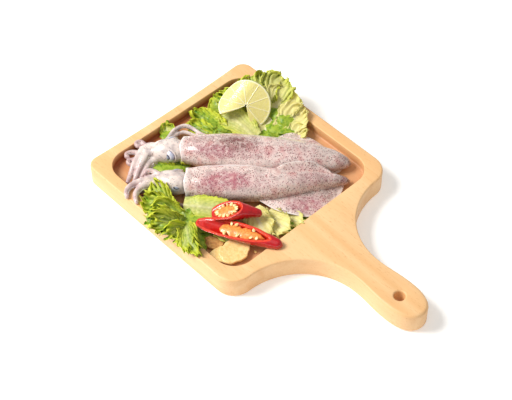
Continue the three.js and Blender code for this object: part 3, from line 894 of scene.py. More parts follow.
# ---------------------------------------------------------------- squid
LAY = math.radians(46.5)  # the squid lie along the tray's diagonal
S_AXIS = np.array([math.cos(LAY), math.sin(LAY), 0.0])  # head to tail
T_AXIS = np.array([-math.sin(LAY), math.cos(LAY), 0.0])  # across
SKIN_REST = 12.35  # least height of a mantle, just over the tray's floor
FIN_REST = 13.6  # and of a fin's middle
SUCKER_GAP = 2.1  # from sucker to sucker along an arm


def lay(points: Any) -> Array:
    """Turns s (head to tail), t (across), z into x, y, z of the frame."""
    p = np.asarray(points, float)
    return p[..., :1] * S_AXIS + p[..., 1:2] * T_AXIS + p[..., 2:] * UP


class Stain(Enum):
    """What colours a patch of skin; some pale patches are painted highlight along a mantle's upper edge."""

    BLUSH = "blush"
    DUSK = "dusk"
    # pale skin at the collar, the fin margins and the lower flank, and painted highlight in thin bands along
    # the upper edge
    BARE = "bare"


@dataclass(frozen=True)
class Patch:
    """A soft-edged stain: its middle along and around, its half sizes and its strength."""

    stain: Stain
    along: float
    around: float
    half: Row
    strength: float

    def cover(self, v: Array, w: Array) -> Array:
        """How strongly the stain shows at places v along and w around."""
        far = np.hypot((v - self.along) / self.half[0], (w - self.around) / self.half[1])
        return self.strength * (1 - smooth(0.35, 1.15, far))


@dataclass(frozen=True)
class Fin:
    """One tail fin: the stretch of mantle it grows from, its widest place, side and reach."""

    start: float
    end: float
    peak: float
    side: int  # 1 towards -t, -1 towards +t
    reach: float
    rise: Row  # height at the root, and change from root to margin
    patches: tuple[Patch, ...] = ()
    ripple: float = 0.5


@dataclass(frozen=True)
class Arm:
    """One arm, one tentacle or the web that joins the arms: its line and radius at each end."""

    line: tuple[Point, ...]
    radii: Row
    suckers: bool = True


@dataclass
class Squid:
    """A whole squid lying on its belly; places are s, t, z in millimetres."""

    name: str
    node: str
    spine: tuple[Point, ...]
    width: Row
    height: Row
    fins: tuple[Fin, ...]
    head: tuple[Point, ...]
    head_size: Row
    eyes: tuple[Point, ...]
    pupils: tuple[Point, ...]
    eye_radii: Row
    arms: tuple[Arm, ...]
    patches: tuple[Patch, ...]
    seed: float
    neighbour: "Squid | None" = None
    plump: float = 1.1  # how much thicker than its core each arm's web of skin is

    def __post_init__(self) -> None:
        """Makes the mantle's own line."""
        self.line = Path(lay(self.spine))

    def frame_at(self, v: Array) -> tuple[Array, Array, Array]:
        """Middle of the mantle, its way across and its way up at shares v of its length."""
        along = self.line.heading(v)
        side = unit(np.cross(along, UP))
        return self.line.at(v), side, np.cross(side, along)

    def girth(self, v: Array) -> tuple[Array, Array]:
        """Half width and half height of the mantle, closing to a blunt point at the tail."""
        close = np.sqrt(np.clip(1 - smooth(0.955, 1.0, v) ** 2, 0, 1))
        flare = 1 + 0.05 * (1 - smooth(0.0, 0.035, v))
        return row_at(self.width, v) * close * flare, row_at(self.height, v) * close * flare

    def skin(self, v: Array, turn: Array, out: float = 0.0) -> Array:
        """Points on the mantle.

        Args:
            v: Share of the length, from the collar.
            turn: Angle round the mantle, 0 at -t and a quarter turn at the top.
            out: Distance above the skin.

        Returns:
            Points in the frame.
        """
        middle, side, lift = self.frame_at(v)
        wide, tall = self.girth(v)
        return shifted(middle, (side, np.cos(turn) * (wide + out)), (lift, np.sin(turn) * (tall + out)))

    def top_over(self, points: Array, out: float) -> Array:
        """Height of the mantle's upper skin above each point, or very low beside it."""
        v = np.linspace(0.02, 0.98, 160)
        middle, side, _ = self.frame_at(v)
        wide, tall = self.girth(v)
        flat = points.reshape(-1, 3)
        near = np.argmin(np.abs((flat[:, None, :2] - middle[None, :, :2]) @ S_AXIS[:2]), axis=1)
        across = np.sum((flat - middle[near]) * side[near], axis=1) / (wide[near] + out)
        height = np.where(
            np.abs(across) < 1,
            middle[near, 2] + (tall[near] + out) * np.sqrt(np.clip(1 - across**2, 0, 1)), -1e3,
        )
        return height.reshape(points.shape[:-1])

    def mantle(self, shell: Shell) -> None:
        """Adds the mantle: a fleshy tube, open at the collar, with a turned-in lip."""
        rows, cols = 200, 112
        v = 1 - (1 - np.linspace(0, 1, rows)) ** 1.15
        turn = np.linspace(0, 2 * np.pi, cols, endpoint=False)
        vv, tt = np.meshgrid(v, turn, indexing="ij")
        points = self.skin(vv, tt)
        around = np.degrees((tt + np.pi / 2) % (2 * np.pi)) - 90
        spread = np.stack([vv * 12, np.cos(tt), np.sin(tt)], axis=-1).reshape(-1, 3)
        sag = rough(spread, 1.1, self.seed).reshape(vv.shape) * 0.55
        folds = rough(spread * (0.5, 3.2, 3.2), 1.0, self.seed + 3).reshape(vv.shape)
        sag += folds * 0.28 * (1 - smooth(0.75, 0.95, vv))
        scallop = 0.9 * np.sin(tt * 3 + self.seed) * (1 - smooth(0.0, 0.05, vv))
        middle, _, _ = self.frame_at(vv)
        outward = unit(points - middle)
        points = shifted(points, (outward, sag), (self.line.heading(vv), scallop))
        points[..., 2] = np.maximum(points[..., 2], SKIN_REST)
        values = {s.value: np.zeros_like(vv) for s in Stain}
        for patch in self.patches:
            values[patch.stain.value] += patch.cover(vv, around)
        values["bare"] += 0.45 * (1 - smooth(0.008, 0.03, vv))
        values["dusk"] += 0.8 * smooth(0.955, 0.995, vv)
        shell.grid(points, wrap=True, **values)
        lip = [points[0]]
        for inward, back in ((0.6, -0.7), (1.6, -0.6), (2.3, 0.5), (2.6, 4.0), (3.2, 12.0)):
            lip.append(points[0] - outward[0] * inward + self.line.heading(vv[0]) * back)
        shell.grid(np.array(lip), wrap=True, bare=0.85)

    def fin(self, shell: Shell, fin: Fin) -> None:
        """Adds one fin: a thin rippled blade with a soft rounded margin."""
        rows, cols = 110, 34
        u, w = np.meshgrid(np.linspace(0, 1, rows), np.linspace(0, 1, cols), indexing="ij")
        v = fin.start + (fin.end - fin.start) * u
        middle, across, _ = self.frame_at(v)
        fore = np.sin(np.pi / 2 * np.minimum(1, u / fin.peak)) ** 1.25
        aft = np.cos(np.pi / 2 * np.clip((u - fin.peak) / (1 - fin.peak), 0, 1)) ** 0.75
        span = 0.03 + 0.97 * fore * aft
        wide, _ = self.girth(v)
        out = wide * 0.72 + w * fin.reach * span
        rise = fin.rise[0] + fin.rise[1] * w * span
        wave = np.sin(u * 17 + self.seed) * 0.6 + np.sin(u * 31 + w * 2 + self.seed) * 0.35
        lift = rise + wave * fin.ripple * w**1.5 * span
        base = shifted(middle, (across, out * fin.side), (UP, lift))
        thick = (2.4 - 1.5 * w) * (0.35 + 0.65 * span) / 2
        round_off = np.sqrt(np.clip(1 - smooth(0.9, 1.0, w) ** 2, 0, 1))
        if self.neighbour is not None and fin.rise[1] > 0:
            rest = self.neighbour.top_over(base, 1.1)
            base[..., 2] = np.maximum(base[..., 2], rest)
        base[..., 2] = np.maximum(base[..., 2], FIN_REST)
        values = {s.value: np.zeros_like(u) for s in Stain}
        for patch in fin.patches:
            values[patch.stain.value] += patch.cover(u, w)
        values["bare"] += 0.75 * smooth(0.9, 1.0, w)
        for sign in (1, -1):
            shell.grid(base + UP * (sign * thick * round_off)[..., None], **values)

    def body(self) -> Piece:
        """Builds the mantle with its fins.

        Returns:
            The piece.
        """
        shell = Shell()
        self.mantle(shell)
        for fin in self.fins:
            self.fin(shell, fin)
        return shell.piece(f"{self.name}_mantle", SKIN, "squid_flesh", self.node)

    def limb(self, shell: Shell, arm: Arm, rings: int = 70, sides: int = 14) -> None:
        """Adds one arm as a closed tapering tube with a ridge along it."""
        path = Path(lay(arm.line))
        v = np.linspace(0, 1, rings)
        along = path.heading(v)
        normal = np.zeros_like(along)
        normal[0] = unit(np.cross(along[0], T_AXIS))
        for i in range(1, rings):
            normal[i] = unit(normal[i - 1] - along[i] * np.dot(normal[i - 1], along[i]))
        binormal = np.cross(along, normal)
        turn = np.linspace(0, 2 * np.pi, sides, endpoint=False)[None, :]
        ends = np.sqrt(np.clip(1 - smooth(0.96, 1.0, v) ** 2, 0, 1)) * np.sqrt(smooth(-0.02, 0.03, v))
        radius = (arm.radii[0] + (arm.radii[1] - arm.radii[0]) * v**0.8) * ends
        radius = radius * (self.plump if arm.suckers else 1.0)
        ridge = 1 + 0.10 * np.cos(2 * turn) + 0.05 * np.cos(3 * turn + 1)
        size = radius[:, None] * ridge
        size = size * (1 + 0.05 * np.sin(v * path.length / 2.6 + self.seed))[:, None]
        ways = (normal[:, None], np.cos(turn) * size), (binormal[:, None], np.sin(turn) * size)
        shell.grid(shifted(path.at(v)[:, None], *ways), wrap=True)

    def crown(self) -> Piece:
        """Builds the head, arms and tentacles as one fleshy mass.

        Returns:
            The piece.
        """
        shell = Shell()
        head = Path(lay(self.head))
        v, turn = sweep(50, 40)
        along = head.heading(v)
        side = unit(np.cross(along, UP))
        size = (0.72 + 0.28 * np.sin(np.pi * v)) * np.sqrt(np.clip(1 - (2 * v - 1) ** 8, 0, 1))
        wide, tall = self.head_size
        ways = (side, np.cos(turn) * size * wide), (np.cross(side, along), np.sin(turn) * size * tall)
        shell.grid(shifted(head.at(v), *ways), wrap=True)
        for eye, pupil in zip(self.eyes, self.pupils, strict=True):
            self.lid(shell, lay(eye), unit(lay(pupil)))
        for arm in self.arms:
            self.limb(shell, arm)
        rough_cast = bpy.data.objects.new("rough_cast", shell.mesh("rough_cast"))
        bpy.context.scene.collection.objects.link(rough_cast)
        merge = rough_cast.modifiers.new("merge", "REMESH")
        merge.mode = "VOXEL"
        merge.voxel_size = 0.6 * MM
        soften = rough_cast.modifiers.new("soften", "SMOOTH")
        soften.factor = 0.5
        soften.iterations = 3
        graph = bpy.context.evaluated_depsgraph_get()
        mesh = bpy.data.meshes.new_from_object(rough_cast.evaluated_get(graph))
        bpy.data.objects.remove(rough_cast)
        mesh.name = f"{self.name}_arms"
        spots = np.empty(len(mesh.vertices) * 3, np.float32)
        mesh.vertices.foreach_get("co", spots)
        spots = spots.reshape(-1, 3) / MM
        ends = np.array([lay(a.line)[-1] for a in self.arms])
        near = np.min(np.linalg.norm(spots[:, None] - ends[None], axis=2), axis=1)
        paint(mesh, "tip", 0.55 * (1 - smooth(2.0, 15.0, near)))
        mesh.shade_smooth()
        return stand_in(f"{self.name}_arms", mesh, FLESH, ())

    def lid(self, shell: Shell, centre: Array, facing: Array) -> None:
        """Adds the soft ring of skin round an eye."""
        wide, tall, _ = self.eye_radii
        level = unit(np.cross(facing, UP))
        rise = np.cross(level, facing)
        u, w = (a[:-1] for a in sweep(41, 10, 2 * np.pi))
        reach = 1.0 + 0.16 * np.cos(w)
        along, up = (level, np.cos(u) * wide * reach), (rise, np.sin(u) * tall * reach)
        points = shifted(centre, along, up, (facing, 0.8 * np.sin(w) + 0.6))
        shell.grid(np.concatenate([points, points[:1]]), wrap=True)

    def eyeballs(self) -> Piece:
        """Builds both eyes, each with the angle from its pupil as a value.

        Returns:
            The piece.
        """
        shell = Shell()
        u, w = sweep(40, 56, np.pi)
        for eye, pupil in zip(self.eyes, self.pupils, strict=True):
            facing = unit(lay(pupil))
            level = unit(np.cross(facing, UP))
            rise = np.cross(level, facing)
            wide, tall, deep = self.eye_radii
            out, along = (facing, np.cos(u) * deep), (level, np.sin(u) * np.cos(w) * wide)
            points = shifted(lay(eye), out, along, (rise, np.sin(u) * np.sin(w) * tall))
            shell.grid(points, wrap=True, turn=u / np.pi)
        return shell.piece(f"{self.name}_eyes", EYE, "squid_flesh")

    def sucker_rows(self) -> Piece:
        """Builds the suckers: two rows of small cups along the inner side of each arm.

        Returns:
            The piece.
        """
        shell = Shell()
        turn = np.linspace(0, 2 * np.pi, 9, endpoint=False)
        cup = ((0.9, -0.3), (1.0, 0.35), (0.75, 0.5), (0.4, 0.2), (0.0, 0.1))  # reach and height
        for arm in self.arms:
            if not arm.suckers:
                continue
            path = Path(lay(arm.line))
            v = np.arange(0.3 * path.length, 0.97 * path.length, SUCKER_GAP) / path.length
            along = path.heading(v)
            bend = path.heading(np.clip(v + 0.05, 0, 1)) - path.heading(np.clip(v - 0.05, 0, 1))
            inner = unit(bend + np.array([0, 0, -0.12]))
            inner = unit(inner - along * np.sum(inner * along, axis=1, keepdims=True))
            across = np.cross(along, inner)
            radius = arm.radii[0] + (arm.radii[1] - arm.radii[0]) * v**0.8
            for i in range(len(v)):
                for side in (-0.5, 0.5):
                    out = unit(inner[i] + across[i] * side)
                    seat = path.at(v[i : i + 1])[0] + out * radius[i] * 0.94 * self.plump
                    size = 0.34 * radius[i] ** 0.8 + 0.12
                    level = unit(np.cross(out, along[i]))
                    fore = np.cross(level, out)
                    circle = level * np.cos(turn)[:, None] + fore * np.sin(turn)[:, None]
                    rings = [seat + circle * reach * size + out * lift * size for reach, lift in cup]
                    shell.grid(np.array(rings), wrap=True)
        return shell.piece(f"{self.name}_suckers", SUCKER, "squid_flesh")

    def build(self) -> None:
        """Builds every piece of the squid; the mantle stands for the CAD squid."""
        self.body()
        self.crown()
        self.eyeballs()
        self.sucker_rows()


REAR = Squid(
    name="rear_squid",
    node="squid_rear",
    spine=((-52, 16.4, 26), (0, 12.3, 27.4), (57, 7.4, 26), (86, 7.6, 21.5), (105, 6.4, 17.5)),
    width=(12.6, 16.9, 18.5, 18.6, 18.3, 17.2, 15, 11.4, 4),
    height=(11.4, 14.1, 15, 15, 15, 14.6, 13, 9.6, 3.6),
    fins=(Fin(0.46, 0.9, 0.44, -1, 27, (-3, -5.5)), Fin(0.6, 0.94, 0.5, 1, 5, (-5, -7))),
    head=((-80, 17, 23.5), (-66, 17.2, 24), (-48, 16.2, 25.5)),
    head_size=(12.2, 10.8),
    eyes=((-62.5, 9.4, 26.4), (-62.5, 25.8, 26.4)),
    pupils=((-0.6, -0.76, 0.23), (-0.4, 0.8, 0.3)),
    eye_radii=(6.6, 6.2, 5.2),
    arms=(
        Arm(  # the web that joins the arms
            ((-68, 17, 22.5), (-82, 17.5, 22), (-90, 9, 19.5), (-95, -3, 17)), (9.4, 4.2),
            suckers=False,
        ),
        Arm(((-74, 19, 25), (-86, 19, 24.5), (-94, 8, 22), (-99, -6, 18), (-102, -17, 16)), (5.2, 1.7)),
        Arm(((-74, 15, 25), (-84, 13, 24), (-90, 2, 21), (-94, -9, 17), (-97, -18, 15)), (5.2, 1.7)),
        Arm(((-74, 13, 20), (-82, 7, 19), (-86, -2, 17.5), (-90, -11, 15.5)), (5, 1.5)),
        Arm(((-74, 22, 22), (-84, 25, 21), (-92, 18, 19), (-97, 6, 17), (-101, -5, 15)), (4.8, 1.6)),
        Arm(
            ((-76, 22, 20), (-86, 26, 20), (-92, 31, 21), (-96, 29, 22), (-94.5, 25, 22), (-91.5, 27, 21.5)),
            (3.4, 1.7),
        ),
        Arm(
            ((-78, 19, 17), (-92, 20, 17), (-100, 20, 19), (-104.5, 17, 20), (-104, 13, 20), (-101, 14, 19)),
            (3.4, 1.5),
        ),
        Arm(
            ((-78, 16, 16), (-92, 14.5, 15.5), (-99, 12, 17), (-103, 9, 18), (-101, 5.5, 18), (-98, 7, 17)),
            (3.2, 1.4),
        ),
        Arm(((-74, 12, 17), (-80, 5, 15.5), (-84, -6, 15)), (3.8, 1.2)),
        Arm(
            (
                (-72, 27, 20), (-66, 36, 21), (-60, 46, 22), (-51, 51.5, 21.5), (-43, 49.5, 19.5),
                (-36, 44, 18.5), (-24, 38.5, 19),
            ),
            (2.6, 1.7),
            suckers=False,
        ),
        Arm(
            (
                (-74, 24, 19), (-67, 32, 19.5), (-60, 41, 19.5), (-52, 46, 18.5), (-43, 44, 17),
                (-34, 39.5, 16),
            ),
            (2.5, 1.6),
            suckers=False,
        ),
    ),
    patches=(
        Patch(Stain.BLUSH, 0.2, 52, (0.13, 32), 0.95), Patch(Stain.BLUSH, 0.08, 70, (0.08, 40), 0.35),
        Patch(Stain.DUSK, 0.33, 84, (0.14, 32), 0.85), Patch(Stain.DUSK, 0.2, 105, (0.25, 26), 0.6),
        Patch(Stain.BLUSH, 0.38, 62, (0.18, 40), 0.45), Patch(Stain.BLUSH, 0.66, 64, (0.2, 40), 0.3),
        Patch(Stain.DUSK, 0.62, 95, (0.25, 30), 0.25), Patch(Stain.BARE, 0.5, 10, (0.5, 26), 0.35),
        Patch(Stain.DUSK, 0.95, 70, (0.06, 200), 0.6), Patch(Stain.DUSK, 0.1, 60, (0.12, 60), 0.35),
        # the thin pale patch at 132 degrees round is a painted highlight along the upper edge
        Patch(Stain.DUSK, 0.32, 60, (0.2, 50), 0.4), Patch(Stain.BARE, 0.6, 132, (0.3, 7), 0.8),
    ),
    seed=1.0,
)

FRONT = Squid(
    name="front_squid",
    node="squid_front",
    spine=(
        (-47, -24.6, 26.2), (0, -25.8, 27.3), (38, -26.3, 26.3), (60, -21.8, 23.3), (80, -16.6, 20.2),
        (103, -13.4, 16.4),
    ),
    width=(13.8, 17.6, 18.4, 18.2, 16.4, 12.4, 9.6, 7.2, 3.2),
    height=(12.4, 14.6, 15, 14.9, 14.2, 12.4, 10, 7.6, 3),
    fins=(
        Fin(
            0.4, 0.955, 0.57, 1, 29, (-3, -2.5),
            (
                Patch(Stain.BLUSH, 0.5, 0.55, (0.24, 0.42), 1.0),
                Patch(Stain.DUSK, 0.8, 0.35, (0.16, 0.5), 0.9),
                Patch(Stain.DUSK, 0.4, 0.1, (0.5, 0.3), 0.3),
            ),
        ),
        Fin(0.45, 0.9, 0.6, -1, 9, (2, 10.5), (Patch(Stain.BLUSH, 0.55, 0.4, (0.4, 0.5), 0.35),), 0.9),
    ),
    head=((-75, -18.5, 22.5), (-61, -21.6, 23.8), (-44, -24, 25.5)),
    head_size=(12, 10.8),
    eyes=((-55.5, -29.4, 26.2), (-57.5, -14.2, 26.6)),
    pupils=((0.1, -0.7, 0.7), (-0.4, 0.8, 0.3)),
    eye_radii=(7.6, 4.6, 4.6),
    arms=(
        Arm(  # the web that joins the arms
            ((-68, -19, 22), (-78, -20, 21.5), (-87, -23.5, 21), (-93, -29, 21.5)), (8.4, 3.6),
            suckers=False,
        ),
        Arm(
            (
                (-70, -17, 25), (-82, -20.5, 25.5), (-92, -23.5, 25.4), (-98.5, -28.5, 25),
                (-101, -34.5, 24.6), (-99.5, -41, 24.2),
            ),
            (4.4, 1.9),
        ),
        Arm(
            (
                (-70, -21, 24), (-80, -24.5, 24.6), (-88, -29, 25), (-92.3, -36, 24.8),
                (-92, -42.5, 24.6), (-90, -47.5, 23.6),
            ),
            (4.4, 2),
        ),
        Arm(((-70, -15, 22), (-80, -14, 21.5), (-88, -16, 20), (-94, -20, 18)), (4, 1.4)),
        Arm(((-70, -20, 19), (-80, -22, 18), (-88, -26, 16), (-94, -25, 15)), (4.2, 1.3)),
        Arm(((-70, -23, 20), (-79, -28, 18), (-84, -35, 16), (-82, -42, 15)), (4, 1.3)),
        Arm(((-70, -14, 18), (-78, -10, 16), (-83, -13, 15), (-82, -19, 15)), (3.6, 1.3)),
        Arm(((-72, -12.5, 23), (-79, -8.5, 25), (-84, -9.5, 25.5), (-86, -13.5, 24.5)), (3, 1.3)),
        Arm(((-68, -26, 19), (-74, -33, 16.5), (-72, -40, 15)), (3.6, 1.2)),
        Arm(((-68, -24, 17), (-70, -34, 15), (-62, -42, 15), (-50, -46, 15)), (2.4, 1.5), suckers=False),
        Arm(((-68, -27, 16), (-66, -34, 15), (-56, -39, 14.6), (-42, -45, 14.6)), (2.4, 1.5), suckers=False),
    ),
    patches=(
        Patch(Stain.BLUSH, 0.24, 66, (0.16, 42), 1.0), Patch(Stain.BLUSH, 0.12, 35, (0.1, 40), 0.6),
        # dusk at 2 and -8 degrees round, on the near lower flank: freckles, darkened further as painted shade
        # on the underside
        Patch(Stain.BLUSH, 0.42, 60, (0.16, 40), 0.4), Patch(Stain.DUSK, 0.2, 2, (0.24, 24), 0.9),
        Patch(Stain.DUSK, 0.45, -8, (0.3, 20), 0.6), Patch(Stain.BLUSH, 0.75, 70, (0.2, 50), 0.45),
        Patch(Stain.DUSK, 0.86, 40, (0.12, 60), 0.35), Patch(Stain.DUSK, 0.97, 70, (0.07, 200), 1.0),
        Patch(Stain.BARE, 0.35, 20, (0.16, 22), 0.3), Patch(Stain.DUSK, 0.1, 70, (0.12, 50), 0.3),
        # the thin pale patch at 132 degrees round is a painted highlight along the upper edge
        Patch(Stain.BARE, 0.2, 132, (0.28, 9), 1.0),
    ),
    seed=2.0,
    neighbour=REAR,
)


# ---------------------------------------------------------------- lettuce
TRAY_FLOOR = 12.0
RIM_TOP = 22.0
TRAY_EDGE = 88.0


def off_the_board(points: Array, gap: float = 0.4) -> Array:
    """Lifts points of a leaf that would lie in the wood.

    Args:
        points: Points in the frame.
        gap: Least height over the wood.

    Returns:
        The lifted points.
    """
    lifted = points.copy()
    reach = np.maximum(np.abs(points[..., 0]), np.abs(points[..., 1]))
    floor = TRAY_FLOOR + (RIM_TOP - TRAY_FLOOR) * smooth(TRAY_EDGE - 4, TRAY_EDGE + 0.5, reach)
    lifted[..., 2] = np.maximum(lifted[..., 2], floor + gap)
    return lifted


def off_the_squid(points: Array, gap: float = 0.5) -> Array:
    """Moves points of a leaf out of the mantles, straight away from each mantle's middle.

    Args:
        points: Points in the frame.
        gap: Least distance from the skin.

    Returns:
        The moved points.
    """
    moved = points.reshape(-1, 3).copy()
    v = np.linspace(0.0, 0.99, 120)
    for squid in (REAR, FRONT):
        middle, side, lift = squid.frame_at(v)
        wide, tall = squid.girth(v)
        run = middle @ S_AXIS
        near = np.argmin(np.abs((moved @ S_AXIS)[:, None] - run[None]), axis=1)
        away = moved - middle[near]
        x = np.sum(away * side[near], axis=1)
        y = np.sum(away * lift[near], axis=1)
        depth = np.hypot(x / (wide[near] + gap), y / (tall[near] + gap))
        inside = (depth < 1) & (moved @ S_AXIS > run[0] - 1) & (moved @ S_AXIS < run[-1])
        push = np.where(inside, 1 / np.maximum(depth, 0.25) - 1, 0)
        moved += side[near] * (x * push)[:, None] + lift[near] * (y * push)[:, None]
    return moved.reshape(points.shape)


@dataclass(frozen=True)
class Leaf:
    """One curly leaf: its midrib from base to tip, and how wide and how frilled it is."""

    rib: tuple[Point, ...]
    half: Row  # half widths at even steps along the midrib
    face: Point  # which way its upper side looks
    frill: float = 3.5  # height of the ruffles at the margin
    tone: float = 0.6  # 0 is a pale heart leaf, 1 a dark outer one
    cup: float = 0.25  # how far the margins rise, as a share of the half width
    seed: float = 0.0
    ribs: float = 0.5  # how strongly the ribs show

    ROWS = 86
    COLS = 39
    THICK = 0.45
    WAVES = ((8.5, 0.8, 1.6), (4.3, 0.5, 2.8), (2.5, 0.26, 5.0))  # length, share, edge power

    def sheet(self) -> tuple[Array, dict[str, Array]]:
        """Shapes the leaf's surface.

        Returns:
            The points, and the rim, rib and tone values on them.
        """
        path = Path(list(self.rib))
        v, u = np.meshgrid(np.linspace(0, 1, self.ROWS), np.linspace(-1, 1, self.COLS), indexing="ij")
        along = path.heading(v)
        side = unit(np.cross(along, np.array(self.face, float)))
        up = np.cross(side, along)
        round_tip = np.sqrt(np.clip(1 - smooth(0.72, 1.0, v) ** 2 * np.abs(u) ** 1.2, 0.04, 1))
        taper = 0.35 + 0.65 * np.sqrt(np.clip(1 - ((v - 0.62) / 0.62) ** 2, 0, 1))
        half = row_at(self.half, v)
        half = half * np.where(v > 0.62, 0.3 + 0.7 * taper, 1)
        length = path.length
        widest = max(self.half)
        mix = (u + 1) / 2
        run = (1 - mix) * length * v + mix * (2 * length + 2 * widest - length * v)
        tip_edge = np.clip((v - 0.66) / 0.34, 0, 1) ** 1.4
        edge = np.clip(np.hypot(np.abs(u) * smooth(-0.1, 0.25, v), tip_edge), 0, 1)
        flat = path.at(v) + side * (u * half * round_tip)[..., None]
        wander = rough(flat.reshape(-1, 3), 9.0, self.seed).reshape(v.shape)
        fine = rough(flat.reshape(-1, 3), 3.2, self.seed + 2).reshape(v.shape)
        rise = self.cup * half * np.abs(u) ** 1.8
        swing = np.zeros_like(v)
        lean = np.zeros_like(v)
        for i, (wave, share, power) in enumerate(self.WAVES):
            phase = 2 * np.pi * run / wave + self.seed * (i + 1.7) + wander * 4.5
            size = share * self.frill * edge**power * (0.75 + 0.5 * np.sin(run / 9.0 + self.seed))
            swing += size * np.sin(phase)
            lean += size * 0.75 * np.cos(phase + 0.6)
        blister = (0.3 + 0.7 * self.tone) * np.abs(fine) * (1 - 0.5 * edge) + 0.6 * wander
        outward = side * np.sign(u)[..., None] * (1 - tip_edge)[..., None] + along * tip_edge[..., None]
        ragged = np.abs(lean) * 0.25 + fine * 1.6 * edge**5
        points = shifted(flat, (up, rise + swing + blister), (along, lean * 0.6), (outward, ragged))
        veins = np.abs(((v * 7 - np.abs(u) * 2.4 + wander * 0.25) % 1) - 0.5) * 2
        side_ribs = smooth(0.8, 1.0, veins) * (1 - edge) * 0.6
        midrib = np.exp(-((u / (0.09 + 0.1 * (1 - v))) ** 2)) * (1 - smooth(0.55, 1.0, v))
        rib = np.clip(self.ribs * (midrib + side_ribs), 0, 1)
        points += up * (0.8 * midrib - 0.3 * side_ribs)[..., None]
        points = off_the_squid(off_the_board(points))
        # painted shade: the frills' valleys get a darker tone and less of the yellow rim
        valley_shade = np.clip(-swing / (0.5 * self.frill), 0, 1) * smooth(0.2, 0.6, edge)
        tone = self.tone * (1 + 1.6 * valley_shade) + 0.1 * valley_shade
        yellow = (0.35 + 0.65 * min(1.0, self.tone / 0.4)) * (1 - 0.75 * valley_shade)
        return points, {"rim": edge * yellow, "rib": rib, "tone": tone}

    def add_to(self, shell: Shell) -> None:
        """Adds the leaf to a shell as two skins joined round the margin."""
        points, values = self.sheet()
        du = np.gradient(points, axis=0)
        dv = np.gradient(points, axis=1)
        normal = unit(np.cross(du, dv))
        both = [points + normal * self.THICK / 2, points - normal * self.THICK / 2]
        rows, cols = points.shape[:2]
        rim = np.concatenate(
            [
                np.arange(cols), np.arange(1, rows) * cols + cols - 1,
                (rows - 1) * cols + np.arange(cols - 2, -1, -1), np.arange(rows - 2, 0, -1) * cols,
            ]
        )
        after = np.roll(rim, -1)
        n = rows * cols
        sheet = quads(rows, cols)
        margin = np.stack([rim, after, after + n, rim + n], axis=1)
        faces = np.concatenate([sheet, sheet[:, ::-1] + n, margin])
        both_values = {k: np.concatenate([val.ravel(), val.ravel()]) for k, val in values.items()}
        shell.put(np.concatenate([p.reshape(-1, 3) for p in both]), faces, **both_values)


@dataclass
class LeafHeap:
    """Curly leaves over a smaller crumpled core that fills the middle of the CAD heap."""

    node: str
    leaves: tuple[Leaf, ...]
    core_tone: float = 0.9
    shrink: float = 0.82

    def core(self, shell: Shell) -> None:
        """Adds the core: the CAD heap, drawn in and crumpled."""
        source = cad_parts[self.node].data
        work = bmesh.new()
        work.from_mesh(source)
        bmesh.ops.remove_doubles(work, verts=work.verts, dist=1e-5)
        bmesh.ops.triangulate(work, faces=work.faces)
        long_edges = [e for e in work.edges if e.calc_length() > 5 * MM]
        bmesh.ops.subdivide_edges(work, edges=long_edges, cuts=2)
        bmesh.ops.triangulate(work, faces=work.faces)
        low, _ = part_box(self.node)
        points = np.array([v.co for v in work.verts]) / MM
        islands = points.mean(axis=0)
        drawn = points.copy()
        drawn[:, :2] = islands[:2] + (points[:, :2] - islands[:2]) * (0.5 + 0.5 * self.shrink)
        drawn[:, 2] = low.z / MM + (points[:, 2] - low.z / MM) * self.shrink * 0.86
        drawn += rough(points, 5.0, 4.0)[:, None] * np.array([0.8, 0.8, 1.2])
        drawn[:, 2] = np.maximum(drawn[:, 2], TRAY_FLOOR + 0.3)
        faces = np.array([[v.index for v in f.verts] for f in work.faces])
        work.free()
        shell.put(drawn, faces, rim=0.0, rib=0.0, tone=self.core_tone)

    def build(self) -> Piece:
        """Builds the heap.

        Returns:
            The piece, which stands for the CAD heap.
        """
        shell = Shell()
        self.core(shell)
        for leaf in self.leaves:
            leaf.add_to(shell)
        return shell.piece(f"{self.node}_leaves", LEAF, "lettuce", self.node)


